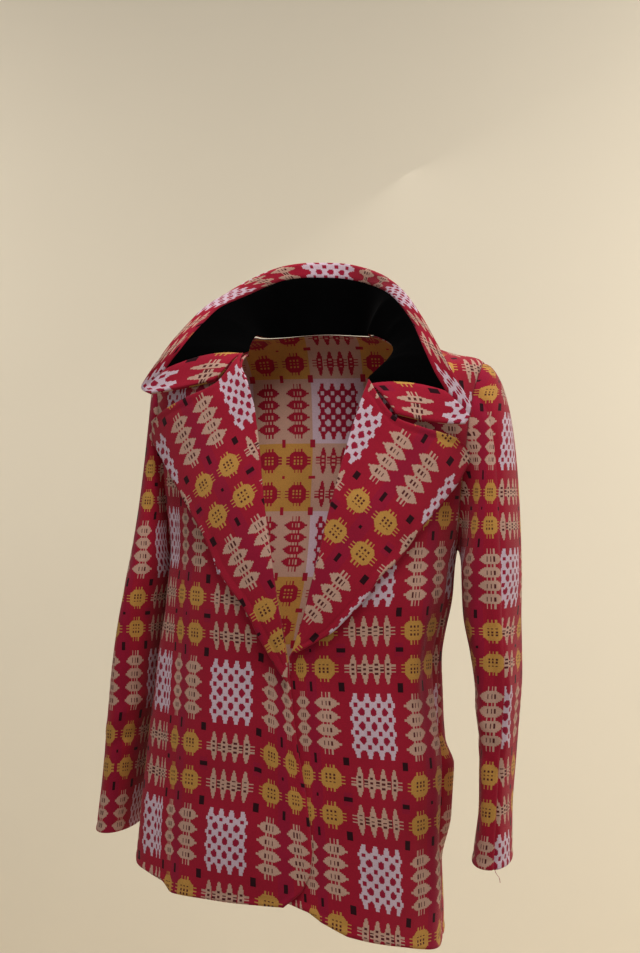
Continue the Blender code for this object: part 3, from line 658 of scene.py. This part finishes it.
def make_front(name, side, edge, hem, lift, neck_drop, grain):
    """A front: from its roll line and front edge to the shoulder, armhole and side seam."""
    rows = panel_rows(grid_count(PANEL_LENGTH))[:, None]
    share = np.linspace(0, 1, grid_count(FRONT_WIDTH))[None, :]
    up = np.maximum(1 - rows / SHOULDER_TIP_ROW, 0)
    start = column(edge, rows + neck_drop * up)
    end = trim(side * side_angle(rows), rows, -side)
    angle = start + (end - start) * share
    row = lower_row(rows, angle, hem) + neck_drop * (1 - share) * up
    face = body_point(angle, row)
    normal = body_normal(angle, row)
    rise = lift(angle, row)[..., None]
    bead = relief(face, ("top", "end"), ("start", "bottom"))[..., None]
    faces = (face + normal * (rise + bead), face + normal * (rise - WOOL))
    finish_sheet(name, faces, hang_front(*cloth_place(tables, angle, row), grain))


def make_back():
    """The back, one piece from side seam to side seam."""
    rows = panel_rows(grid_count(PANEL_LENGTH))[:, None]
    share = np.linspace(0, 1, grid_count(BACK_WIDTH))[None, :]
    side = side_angle(rows)
    start = trim(180.0 - side, rows, 1)
    end = trim(180.0 + side, rows, -1)
    angle = start + (end - start) * share
    signed = np.where(angle <= 180, angle, angle - 360)
    row = np.where(angle <= 180, lower_row(rows, signed, HEM_LEFT), lower_row(rows, signed, HEM_RIGHT))
    face = body_point(signed, row)
    normal = body_normal(signed, row)
    bead = relief(face, ("top", "start", "end"), ("bottom",))[..., None]
    faces = (face + normal * bead, face - normal * WOOL)
    across = lengths(face[..., :2], 1)
    middle = np.array([np.interp(180.0, turn, place) for turn, place in zip(angle, across)])
    across = across - middle[:, None]
    low = smooth((row - 1) / 6)
    across = low * across - (1 - low) * face[..., 0]
    down = lengths(face[..., 1:])
    down = down - down[[np.abs(rows[:, 0] - UNDERARM_ROW).argmin()]]
    cloth = np.stack([across, down - BACK_LEVEL], axis=-1)
    # The back's rims take the darker crimson wool, a painted shade
    finish_sheet("back", faces, cloth, (tapestry, reverse, plain))


def armhole_place(side, turn):
    """Angle and row of the armhole seam: turn 0 is the shoulder, 90 degrees the front."""
    angle = side * (90.0 - ARMHOLE_ANGLE * np.sin(turn))
    row = ARMHOLE_ROW - ARMHOLE_ROWS * np.cos(turn)
    return angle, row


def sleeve_point(side, table, cap, place, share):
    """Outer face of a sleeve: place 0 to 1 is the cap, then the sections."""
    place, share = np.broadcast_arrays(place, share)
    section = np.maximum(place - 1, 0)
    z, x, y, across, deep = np.moveaxis(row_at(table, section), -1, 0)
    round_turn = 2 * math.pi * share
    turn = np.arctan2(deep * np.sin(round_turn), across * np.cos(round_turn))
    s = np.sin(turn)
    c = np.cos(turn)
    radius = oval_radius(c, s, across, deep, SLEEVE_SQUARE)
    end = np.stack([x + side * radius * c, y - radius * s, z], axis=-1)
    start = body_point(*armhole_place(side, round_turn)) + np.array([side * SEAM, 0, 0])
    length = np.linalg.norm(end - start, axis=-1, keepdims=True)
    cap_out, cap_slope = cap
    lean = (table[0][1:3] - table[1][1:3]) / (table[0][0] - table[1][0])
    first = start + unit(np.array([side, 0, -cap_slope])) * cap_out * length
    second = end + np.array([lean[0], lean[1], 1.0]) * CAP_DOWN * length
    f = place[..., None]
    arch = ((1 - f) ** 3 * start + 3 * (1 - f) ** 2 * f * first
            + 3 * (1 - f) * f * f * second + f ** 3 * end)
    return np.where(f >= 1, end, arch)


def sleeve_crease(creases, place, share):
    """How far long creases and the elbow's short ones push the sleeve out."""
    total = np.zeros(np.broadcast(place, share).shape)
    for top, bottom, height, spread, start, end in creases:
        f = np.clip((place - start) / (end - start), 0, 1)
        away = (share - top - (bottom - top) * f + 0.5) % 1.0 - 0.5
        total += height * smooth(f * 4) * smooth((1 - f) * 3) * np.exp(-(away / spread) ** 2)
    for centre, section, height, spread, length, slope in ELBOW_CREASES:
        away = (share - centre + 0.5) % 1.0 - 0.5
        level = place - 1 - section + slope * away
        total += height * np.exp(-(away / spread) ** 2 - (level / length) ** 2)
    return total


def sleeve_shares(place, front_seam):
    """Shares round the sleeve, a pair of close ones at each seam, bent to follow the front seam."""
    count = grid_count(SLEEVE_ROUND)
    share = np.linspace(0, 1, count + 1)
    pairs = [seam + side * SEAM_SHARE for seam in (FRONT_SEAM, BACK_SEAM) for side in (-1, 1)]
    near = np.minimum(np.abs(share - FRONT_SEAM), np.abs(share - BACK_SEAM)) < 0.3 / count
    share = np.sort(np.concatenate([share[~near], pairs]))[None, :]
    line = front_seam[0] + (front_seam[1] - front_seam[0]) * place / len(LEFT_SLEEVE)
    return share, share + (line - FRONT_SEAM) * np.exp(-((share - FRONT_SEAM) / 0.10) ** 2)


def make_sleeve(name, side, table, cap, creases, front_seam, grains):
    """A set-in sleeve: the cap from the armhole, and the tube down to an open cuff."""
    cap_rows = grid_count(CAP_LENGTH)
    tube_rows = grid_count(TUBE_LENGTH)
    last = len(table)
    place = np.concatenate([np.linspace(0, 1, cap_rows)[:-1], np.linspace(1, last, tube_rows)])[:, None]
    plain, share = sleeve_shares(place, front_seam)

    def at(place, share):
        return sleeve_point(side, table, cap, np.clip(place, 0.0, last), share)

    face = at(place, share)
    down = at(place + 0.03, share) - at(place - 0.03, share)
    sideways = at(place, share + 0.004) - at(place, share - 0.004)
    normal = unit(np.cross(sideways, down)) * side
    at_seam = body_normal(*armhole_place(side, 2 * math.pi * share[0]))
    dot = np.maximum((at_seam * normal[0]).sum(axis=1, keepdims=True), 0)
    normal[0] = unit(normal[0] + at_seam * dot)
    rise = sleeve_crease(creases, place, share) + relief(face, ("top",), ("bottom",))
    for seam in (FRONT_SEAM, BACK_SEAM):
        rise = rise - SLEEVE_SEAM_DIP * np.exp(-((plain - seam) / SLEEVE_SEAM_WIDTH) ** 2)
    outer = face + normal * rise[..., None]
    inner = face + normal * (np.minimum(rise, 0)[..., None] - WOOL)
    step = np.diff(face, axis=1)
    step[..., 2] *= plain[:, 1:] < 0.5
    round_sleeve = running(np.linalg.norm(step, axis=2), 1)
    front = round_sleeve[:, [np.abs(plain[0] - 0.25).argmin()]]
    top = (plain < FRONT_SEAM) | (plain > BACK_SEAM)
    over = np.where(plain > BACK_SEAM, round_sleeve[:, -1:], 0.0)
    across = -side * (round_sleeve - over - front)
    down = -(face[..., 2] - SLEEVE_LEVEL)
    under, over = (hang_sleeve(across, down, grain) for grain in grains)
    cloth = np.where(top[..., None], over, under)
    return finish_sheet(name, (outer[:, :-1], inner[:, :-1]), cloth, closed=True)


def add_thread(thing):
    """A thread hanging loose from a cuff, part of the sleeve's mesh."""
    path = along(LOOSE_THREAD, np.linspace(0, 1, 13))
    turn = np.radians(np.arange(0, 360, 60))
    ring = np.stack([np.cos(turn), np.sin(turn), 0 * turn], axis=-1) * LOOSE_THREAD_RADIUS
    solid = bmesh.new()
    solid.from_mesh(thing.data)
    rows = [[solid.verts.new(centre + corner) for corner in ring] for centre in path]
    for low, high in zip(rows, rows[1:]):
        for i in range(len(ring)):
            j = (i + 1) % len(ring)
            solid.faces.new((low[i], low[j], high[j], high[i])).smooth = True
    solid.faces.new(rows[0])
    solid.faces.new(rows[-1][::-1])
    solid.to_mesh(thing.data)
    solid.free()


def along(points, share):
    """Points shares of the way along a smooth curve through points, by their spacing."""
    points = np.array(points, dtype=float)
    marks = lengths(points)
    return row_at(points, np.interp(share, marks / marks[-1], range(len(points))))


def lapel_grid(shape, down, out):
    """Angles and rows on the front under a lapel's points."""
    front_edge, drop, crossing, top, side_rows = shape
    rows = drop + down * (crossing - drop)
    start = np.stack([column(front_edge, rows), rows], axis=-1)
    places = np.interp(down, [row[0] for row in side_rows], range(len(side_rows)))
    side = row_at(np.array([row[1:] for row in side_rows]) / 1000, places)
    end = np.stack(find_front(side[:, 0], side[:, 1]), axis=-1)
    chord = start[0] + (end[0] - start[0]) * out[:, None]
    curve = along(np.array(top + [side_rows[0][1:]]) / 1000, out)
    dip = np.stack(find_front(curve[:, 0], curve[:, 1]), axis=-1) - chord
    grid = start[:, None] + (end - start)[:, None] * out[None, :, None]
    grid = grid + dip[None] * (1 - down)[:, None, None]
    return grid[..., 0], grid[..., 1]


def make_lapel(name, shape, lift, placing):
    """A lapel turned back along its roll line, lying on the front."""
    down = np.linspace(0, 1, grid_count(LAPEL_LENGTH)) ** LAPEL_CROWD
    out = np.linspace(0, 1, grid_count(LAPEL_WIDTH))
    angle, row = lapel_grid(shape, down, out)
    down = down[:, None]
    out = out[None, :]
    swell = np.sin(0.5 * math.pi * np.minimum(out / SWELL_OUT, 1.0))
    puff = (LAPEL_PUFF * swell * (1 - down) ** SWELL_FADE
            + TIP_PUFF * out * out * np.maximum(1 - down / TIP_DOWN, 0.0)
            + ROLL_PUFF * (1 - out) * np.maximum(1 - down / ROLL_DOWN, 0.0))
    base = (lift(angle, row) + LAPEL_GAP + puff)[..., None]
    face = body_point(angle, row)
    normal = body_normal(angle, row)
    outer = face + normal * (base + WOOL)
    outer = outer + normal * relief(outer, (), ("top", "end", "bottom"))[..., None]
    inner = face + normal * base
    cloth = lay(*cloth_place(tables, angle, row), placing)
    finish_sheet(name, (outer, inner), cloth, (tapestry, tapestry))


def neck_row(angle):
    """Body row of the neck seam; the left front's lies lower towards the roll line."""
    row = LEFT_NECK_DROP * (90.0 - angle) / (90.0 - LEFT_ROLL_ANGLE)
    return np.where((angle < 0) | (angle > 90), 0.0, row)


def signed_angle(angle):
    return (angle + 180.0) % 360.0 - 180.0


def gorge_place(top, share, lift):
    """Place of the gorge on the front, 0 at the roll line and 1 at the notch."""
    start, end = np.array(top[:2]) / 1000
    run = unit(end - start)
    clear = np.array([-run[1] * math.copysign(1, run[0]), abs(run[0])]) * GORGE_GAP
    angle, row = find_front(*(start + (end - start) * share + clear))
    signed = float(angle) if angle < 0 else float(angle) - 360.0
    return signed, float(row), float(lift(angle, row)) + GORGE_LIFT + LAPEL_PUFF * share


def collar_curves():
    """Seam place (angle, row, lift), outer edge and bow at each station."""
    seam = [(row[0], 0.0, COLLAR_LIFT) for row in COLLAR]
    seam[:2] = [gorge_place(RIGHT_LAPEL_TOP, share, overlap_lift) for share in (1, 0.5)]
    seam[-2:] = [gorge_place(LEFT_LAPEL_TOP, share, no_lift) for share in (0.5, 1)]
    edge_and_bow = np.array([row[1:] for row in COLLAR]) / 1000
    return np.array(seam, dtype=float), edge_and_bow[:, :3], edge_and_bow[:, 3:]


def collar_seam(seam, place):
    """Seam points at station places: on the neck edge, or on the gorge at either end."""
    stations = np.arange(len(COLLAR))
    angle = np.interp(place, stations, seam[:, 0])
    signed = signed_angle(angle)
    row = neck_row(signed)
    lift = np.full(place.shape, COLLAR_LIFT)
    for inner, here in ((2, place < 2), (len(COLLAR) - 3, place > COLLAR_LAST - 2)):
        ends = seam.copy()
        ends[inner] = (seam[inner][0], neck_row(signed_angle(seam[inner][0])), COLLAR_LIFT)
        row = np.where(here, np.interp(place, stations, ends[:, 1]), row)
        lift = np.where(here, np.interp(place, stations, ends[:, 2]), lift)
    return body_point(signed, row) + body_normal(signed, row) * lift[..., None]


def collar_point(curves, place, s):
    """Middle surface of the collar: station place along, and s from seam to edge."""
    seam, edge, bow = curves
    place, s = np.broadcast_arrays(np.clip(place, 0.0, COLLAR_LAST), s)
    start = collar_seam(seam, place)
    end = row_at(edge, place)
    middle = 0.5 * (start + end)
    middle[..., 2] += 2 * row_at(bow, place)[..., 0]
    s = s[..., None]
    return (1 - s) ** 2 * start + 2 * (1 - s) * s * middle + s * s * end


def collar_frame(curves, place, s):
    """Directions along the collar, up to its edge, and off its upper face."""
    step = 0.05
    ahead = collar_point(curves, place + step, s) - collar_point(curves, place - step, s)
    up = collar_point(curves, place, np.minimum(s + step, 1))
    up = up - collar_point(curves, place, np.maximum(s - step, 0))
    return unit(ahead), unit(up), unit(np.cross(ahead, up))


def inlay_start(level):
    """Station where the front band meets the inlay; above the rim, level 1, it is the mitre."""
    low = INLAY_AT_SEAM + (INLAY_AT_RIM - INLAY_AT_SEAM) * level
    return np.where(level <= 1, low, INLAY_AT_RIM + (MITRE_AT_EDGE - INLAY_AT_RIM) * (level - 1))


def collar_share(curves, place, level):
    """Share of the collar's height at a level: 0 the seam, 1 the inlay's rim, 2 the edge."""
    middle = collar_point(curves, place, 0.5)
    height = np.linalg.norm(collar_point(curves, place, 1.0) - middle, axis=-1)
    height = height + np.linalg.norm(middle - collar_point(curves, place, 0.0), axis=-1)
    rim = 1 - COLLAR_BAND / np.maximum(height, 2 * COLLAR_BAND)
    return np.where(level <= 1, level * rim, rim + (level - 1) * (1 - rim))


def collar_sheet(curves, places, levels, heights, gap_start, gap_end, gap_rim):
    """Outer and inner points of a collar layer over stations by levels, with its seam gaps."""
    low, high = heights
    s = collar_share(curves, places, np.broadcast_to(levels[:, None], places.shape))
    ahead, up, normal = collar_frame(curves, places, s)
    foot = collar_frame(curves, places, np.zeros_like(s))[2] * ((WOOL + LAYER_GAP) * (1 - s))[..., None]
    move = np.zeros_like(s)
    move[:, 0] = gap_start
    move[:, -1] = -gap_end
    lift = np.zeros_like(s)
    lift[-1 if gap_rim < 0 else 0] = gap_rim
    here = collar_point(curves, places, s) + foot + ahead * move[..., None] + up * lift[..., None]
    return here + normal * high, here + normal * low, normal


def strip_cloth(points):
    """Metres along a strip from its middle, and up to its last row."""
    edge = lengths(points[-1])
    up = lengths(points)
    return np.broadcast_to(edge - edge[len(edge) // 2], up.shape), up[-1:] - up


def make_collar():
    """Under collar, and on it the tapestry bands mitred round the velvet inlay."""
    curves = collar_curves()
    last = COLLAR_LAST
    lengthwise = grid_count(COLLAR_LENGTH)

    def middle(levels):
        start = inlay_start(levels)[:, None]
        return start + (last - 2 * start) * np.linspace(0, 1, lengthwise)

    levels = np.linspace(0, 2, grid_count(COLLAR_HEIGHT))
    places = np.broadcast_to(np.linspace(0, last, lengthwise + 20), (len(levels), lengthwise + 20))
    outer, inner, _ = collar_sheet(curves, places, levels, (-LAYER_GAP - WOOL, -LAYER_GAP), 0, 0, 0)
    cloth = np.stack(strip_cloth(outer), axis=-1)
    finish_sheet("under_collar", (outer, inner), cloth, (tapestry,))

    levels = np.linspace(0, 1, grid_count(VELVET_HEIGHT))
    places = middle(levels)
    outer, inner, normal = collar_sheet(curves, places, levels, (0.0, VELVET), SEAM, SEAM, -SEAM)
    pinch = relief(outer, ("bottom", "start", "end"), ()) * 0.6
    for station, spread, height in VELVET_FOLDS:
        fold = height * np.exp(-((places - station) / spread) ** 2)
        pinch = pinch + fold * np.sin(math.pi * levels[:, None])
    cloth = np.stack(strip_cloth(outer), axis=-1)
    finish_sheet("collar_velvet", (outer + normal * pinch[..., None], inner), cloth,
                 (velvet,))

    levels = np.linspace(1, 2, grid_count(COLLAR_BAND))
    outer, inner, normal = collar_sheet(curves, middle(levels), levels, (0.0, WOOL), SEAM, SEAM, SEAM)
    bead = relief(outer, ("top", "start", "end"), ("bottom",))[..., None]
    across, up = strip_cloth(outer)
    cloth = np.stack([up - COLLAR_BAND / 2, column(RIM_PLACES, across * 1000) / 1000], axis=-1)
    finish_sheet("collar_band_outer", (outer + normal * bead, inner), cloth, (tapestry,),
                 strip=COLLAR_BAND)

    levels = np.linspace(0, 2, grid_count(COLLAR_HEIGHT))
    for name, end, away, placing in (("collar_band_right", 0.0, 1, RIGHT_END),
                                     ("collar_band_left", last, -1, LEFT_END)):
        places = end + away * inlay_start(levels)[:, None] * np.linspace(0, 1, grid_count(END_WIDTH))
        outer, inner, normal = collar_sheet(curves, places, levels, (0.0, WOOL), 0, away * SEAM, 0)
        bead = relief(outer, ("end",), ("start", "bottom"))[..., None]
        across = lengths(outer, 1)
        up = lengths(outer[:, 0])[:, None] + np.zeros_like(across)
        cloth = np.stack([across - END_OFFSET / 1000, placing[0] / 1000 - placing[1] * up], axis=-1)
        finish_sheet(name, (outer + normal * bead, inner), cloth, (tapestry,))


def makes(operation):
    """Arithmetic that makes one node."""
    return lambda signal, *others: signal.math(operation, *others)


class Signal:
    """A number in a shader tree. A mask is 1 or 0, so that & is the product and | the larger."""

    __add__ = makes("ADD")
    __sub__ = makes("SUBTRACT")
    __mul__ = __and__ = makes("MULTIPLY")
    __or__ = makes("MAXIMUM")
    __lt__ = makes("LESS_THAN")
    __gt__ = makes("GREATER_THAN")
    __abs__ = makes("ABSOLUTE")
    nearest = makes("MINIMUM")
    sine = makes("SINE")

    def __init__(self, tree, socket):
        self.tree = tree
        self.socket = socket

    def math(self, operation, *others):
        node = self.tree.nodes.new("ShaderNodeMath")
        node.operation = operation
        for entry, value in zip(node.inputs, (self,) + others):
            if isinstance(value, Signal):
                self.tree.links.new(value.socket, entry)
            else:
                entry.default_value = value
        return Signal(self.tree, node.outputs[0])

    def __invert__(self):
        return (self * -1.0) + 1.0

    def stepped(self, step):
        """The middle of the step it falls in, as woven motifs go by whole threads."""
        return self.math("SNAP", step) + step / 2


def stripes(coordinate, repeat, wide, narrow, star):
    """Distances from the marks of one direction of the repeat, in millimetres."""
    away = abs(coordinate.math("WRAP", repeat / 2, -repeat / 2))
    past = away - 1.5 * star
    return {
        "is_wide": away < wide / 2,
        "star": abs(away - 0.5 * star).nearest(abs(past)),
        "past": past,
        "narrow": abs(away - (wide + narrow) / 2),
        "edge": abs(away - wide / 2),
        "middle": (away * -1.0) + repeat / 2,
        "away": away,
    }


def lines(distance, pitch, half):
    """Three parallel lines: at the middle and a pitch away on either side."""
    return distance.nearest(abs(distance - pitch)) < half


def chart(x, y):
    """Masks of the tapestry's motifs at a place on the cloth, x across and y down."""
    sx, sy, px, py = x["star"], y["star"], x["past"], y["past"]
    nx, ny = x["narrow"], y["narrow"]
    lattice = (px < 6.4) & (py < 12.7)
    lattice = lattice & ~((sx < 2.0) & (sy < 2.5))
    lattice = lattice & ~((sx > 2.8) & (sy > 3.3) & ((sx + sy) > 9.0))
    lattice = lattice & ~((py > 9.2) & (sx > 1.9)) & ~((px > 3.9) & (sy > 2.3))

    stalk = lines(nx, 4.3, 0.8)
    lobe = (((nx * 0.62) + sy) < 10.2) & (sy < 6.1) & (nx < 12.2)
    lobe = lobe | ((nx < 14.6) & (sy < 1.3))
    lobes = (lobe | stalk) & ~(stalk & (sy < 2.7)) & (nx < 14.6) & (py < 12.4)

    rung = lines(ny, 3.7, 0.75)
    leaf = (((ny * 0.25) + sx) < 5.4) & (sx < 4.0) & (ny < 17.0)
    seed = (sx < 1.7) & lines(ny, 5.0, 1.1)
    bars = rung & (px < 9.3)
    leaves = (leaf & ~seed) | (bars & ~(sx < 4.1))
    between = (sx > 4.2) & (ny < 3.0) & ~rung & (px < 0.0)

    eyes = lines(nx, 4.4, 0.95) & lines(ny, 4.3, 1.1)
    flower = (nx < 11.6) & (ny < 11.6) & ((nx + ny) < 18.2)
    flower = flower | (lines(nx, 4.0, 0.8) & (ny < 15.8)) | (lines(ny, 3.9, 0.8) & (nx < 16.2))
    flower = flower & ~eyes

    wide_x, wide_y = x["is_wide"], y["is_wide"]
    block, pillar = wide_x & wide_y, ~wide_x & wide_y
    beam, corner = wide_x & ~wide_y, ~wide_x & ~wide_y
    square = (x["edge"] < 3.4) & (y["edge"] < 5.2)
    square = square | ((x["middle"] < 2.2) & (y["edge"] < 5.3)) | ((x["edge"] < 4.6) & (y["middle"] < 2.5))
    speck = (x["middle"] < 1.8) & (y["middle"] < 1.8)
    marks = (pillar & stalk & (sy < 2.7)) | (beam & ((leaf & seed) | between))
    marks = marks | (corner & eyes & (nx < 6.5) & (ny < 6.5))
    return {
        "white": block & lattice,
        "khaki": (pillar & lobes) | (beam & leaves),
        "mustard": corner & flower,
        "dark": square | speck,
        "marks": marks,
        "tinge": (block & (x["away"] < 24.0) & (y["away"] < 28.0)) | (x["middle"] < 9.0)
                 | ((x["edge"] < 5.0) & (y["middle"] < 8.0)),
        "block": block,
        "corner": corner,
    }


# Dyed wools, as colours seen in even light
CRIMSON = (0.430, 0.012, 0.038)
MAGENTA = (0.340, 0.010, 0.052)
LILAC = (0.780, 0.600, 0.710)
KHAKI = (0.670, 0.410, 0.320)
MUSTARD = (0.660, 0.340, 0.080)
PLUM = (0.030, 0.004, 0.009)
MARK = (0.110, 0.018, 0.022)


def mix(tree, share, low, high, blend="MIX"):
    """Colour between two, each a colour or a socket."""
    node = tree.nodes.new("ShaderNodeMix")
    node.data_type = "RGBA"
    node.blend_type = blend
    for entry, value in ((node.inputs["Factor"], share), (node.inputs[6], low), (node.inputs[7], high)):
        if isinstance(value, tuple):
            entry.default_value = (*value, 1.0)
        elif isinstance(value, float):
            entry.default_value = value
        else:
            tree.links.new(getattr(value, "socket", value), entry)
    return node.outputs[2]


def start_material(name, roughness, gloss, sheen=None):
    """A material; sheen is its weight, roughness and tint."""
    material = bpy.data.materials.new(name)
    material.use_nodes = True
    shader = material.node_tree.nodes["Principled BSDF"]
    shader.inputs["Roughness"].default_value = roughness
    shader.inputs["Specular IOR Level"].default_value = gloss
    if sheen:
        for entry, value in zip(("Sheen Weight", "Sheen Roughness", "Sheen Tint"), sheen):
            shader.inputs[entry].default_value = value
    return material, material.node_tree, shader


def add_bump(tree, shader, height, strength, distance):
    bump = tree.nodes.new("ShaderNodeBump")
    bump.inputs["Strength"].default_value = strength
    bump.inputs["Distance"].default_value = distance
    tree.links.new(height.socket, bump.inputs["Height"])
    tree.links.new(bump.outputs[0], shader.inputs["Normal"])


def cloth_coordinates(tree):
    """Millimetres across and down the cloth."""
    place = tree.nodes.new("ShaderNodeUVMap")
    place.uv_map = "cloth"
    apart = tree.nodes.new("ShaderNodeSeparateXYZ")
    tree.links.new(place.outputs["UV"], apart.inputs[0])
    return Signal(tree, apart.outputs["X"]) * 1000.0, Signal(tree, apart.outputs["Y"]) * 1000.0


def noise(tree, scale, detail=2.0):
    """Even noise around a half, in the jacket's own space."""
    place = tree.nodes.new("ShaderNodeTexCoord")
    node = tree.nodes.new("ShaderNodeTexNoise")
    node.inputs["Scale"].default_value = scale
    node.inputs["Detail"].default_value = detail
    tree.links.new(place.outputs["Object"], node.inputs["Vector"])
    return Signal(tree, node.outputs["Fac"])


def wool_material(name, turned):
    """Double cloth: crimson with the tapestry's motifs, or its colours turned about."""
    material, tree, shader = start_material(name, 0.86, 0.15, (0.12, 0.45, (1.0, 0.86, 0.84, 1.0)))
    u, v = cloth_coordinates(tree)
    weave = (u * (2 * math.pi / THREAD)).sine() * (v * (2 * math.pi / THREAD)).sine()
    x = stripes(u.stepped(STEP_X), REPEAT_X, WIDE, NARROW, STAR_X)
    y = stripes(v.stepped(STEP_Y), REPEAT_Y, TALL, LOW, STAR_Y)
    masks = chart(x, y)
    ground = mix(tree, masks["tinge"] * 0.5, CRIMSON, MAGENTA)
    if turned:
        motif = masks["white"] | masks["khaki"] | masks["mustard"]
        pair = mix(tree, masks["block"], KHAKI, LILAC)
        pair = mix(tree, masks["corner"], pair, MUSTARD)
        colour = mix(tree, motif, pair, ground)
        colour = mix(tree, masks["dark"], colour, CRIMSON)
    else:
        colour = ground
        for motif, wool in (("khaki", KHAKI), ("mustard", MUSTARD), ("white", LILAC), ("marks", MARK),
                            ("dark", PLUM)):
            colour = mix(tree, masks[motif], colour, wool)
    flecks = noise(tree, 900.0, 1.0)
    # Painted shade between the threads: the weave's sine darkens the colour in its troughs. The flecks and
    # the slow noise are the wool's random tone.
    shade = ((weave * 0.07) + (flecks * 0.45)) + (noise(tree, 16.0, 3.0) * 0.35)
    colour = mix(tree, 1.0, colour, shade + 0.60, "MULTIPLY")
    tree.links.new(colour, shader.inputs["Base Color"])
    add_bump(tree, shader, (weave * 0.5) + (flecks * 0.8), 0.35, 0.0006)
    return material


def even_material(name, roughness, gloss, scale, dark, light):
    """Plain stuff with a faint unevenness."""
    material, tree, shader = start_material(name, roughness, gloss)
    tree.links.new(mix(tree, noise(tree, *scale), dark, light), shader.inputs["Base Color"])
    return material


def velvet_material():
    """Short black pile that lightens where it turns away."""
    sheen = (0.012, 0.35, (0.8, 0.8, 0.85, 1.0))
    material, tree, shader = start_material("velvet_pile", 0.9, 0.02, sheen)
    pile = noise(tree, 420.0, 2.0)
    nap = noise(tree, 28.0, 3.0)
    colour = mix(tree, (pile * 0.5) + (nap * 0.9), (0.0002, 0.0002, 0.0002), (0.0016, 0.0016, 0.0018))
    tree.links.new(colour, shader.inputs["Base Color"])
    add_bump(tree, shader, (pile * 0.5) + (nap * 1.6), 0.4, 0.0009)
    return material


def make_plane(name, low, high, material):
    """One flat face between two corners, as wide as the stage, that only sets the scene."""
    mesh = bpy.data.meshes.new(name)
    corners = [(-STAGE_HALF, *low), (STAGE_HALF, *low), (STAGE_HALF, *high), (-STAGE_HALF, *high)]
    mesh.from_pydata(corners, [], [(0, 1, 2, 3)])
    mesh.materials.append(material)
    add_object(name, mesh)


def make_stage():
    """A plain wall behind, a pale floor, the camera and soft lights."""
    wall = even_material("plain_wall", 0.95, 0.1, (1.2, 2.0), (0.760, 0.690, 0.570), (0.800, 0.730, 0.605))
    make_plane("wall", (WALL_Y, FLOOR_Z), (WALL_Y, STAGE_HALF), wall)
    make_plane("floor", (-STAGE_HALF, FLOOR_Z), (WALL_Y, FLOOR_Z), wall)

    data = bpy.data.cameras.new("camera")
    data.lens = LENS
    data.sensor_width = SENSOR
    camera = add_object("camera", data)
    camera.location = CAMERA_PLACE
    camera.rotation_euler = (math.radians(90), 0, math.radians(CAMERA_TURN))
    bpy.context.scene.camera = camera

    for name, place, aim, size, power, spread, colour in LIGHTS:
        lamp = bpy.data.lights.new(name, "AREA")
        lamp.size = size
        lamp.energy = power
        lamp.color = colour
        lamp.spread = math.radians(spread)
        thing = add_object(name, lamp)
        thing.location = place
        thing.visible_camera = False
        line = np.array(aim) - np.array(place)
        thing.rotation_euler = (math.atan2(math.hypot(line[0], line[1]), -line[2]), 0,
                                math.atan2(-line[0], line[1]))
    world = bpy.data.worlds.new("room")
    world.use_nodes = True
    sky = world.node_tree.nodes["Background"]
    sky.inputs["Color"].default_value = SKY
    sky.inputs["Strength"].default_value = SKY_STRENGTH
    bpy.context.scene.world = world
    bpy.context.scene.view_settings.view_transform = "Standard"


tables = cloth_tables()
tapestry = wool_material("tapestry_wool", False)
reverse = wool_material("tapestry_reverse", True)
# Crimson wool on the back's rims, darkened to about half as painted shade
plain = even_material("rim_wool_painted_shade", 0.9, 0.1, (900.0, 1.0), (0.10, 0.006, 0.012), (0.22, 0.010, 0.024))
velvet = velvet_material()

make_front("right_front", -1, RIGHT_EDGE, HEM_RIGHT, overlap_lift, 0.0, RIGHT_FRONT_GRAIN)
make_front("left_front", 1, LEFT_EDGE, HEM_LEFT, no_lift, LEFT_NECK_DROP, LEFT_FRONT_GRAIN)
make_back()
make_sleeve("right_sleeve", -1, RIGHT_SLEEVE, RIGHT_CAP, RIGHT_SLEEVE_CREASES, RIGHT_FRONT_SEAM,
            (RIGHT_SLEEVE_GRAIN, RIGHT_SLEEVE_GRAIN))
left_sleeve = make_sleeve("left_sleeve", 1, LEFT_SLEEVE, LEFT_CAP, LEFT_SLEEVE_CREASES, LEFT_FRONT_SEAM,
                          (LEFT_SLEEVE_GRAIN, LEFT_TOP_GRAIN))
add_thread(left_sleeve)
make_lapel("right_lapel", RIGHT_LAPEL, overlap_lift, RIGHT_LAPEL_CLOTH)
make_lapel("left_lapel", LEFT_LAPEL, no_lift, LEFT_LAPEL_CLOTH)
make_collar()
make_stage()
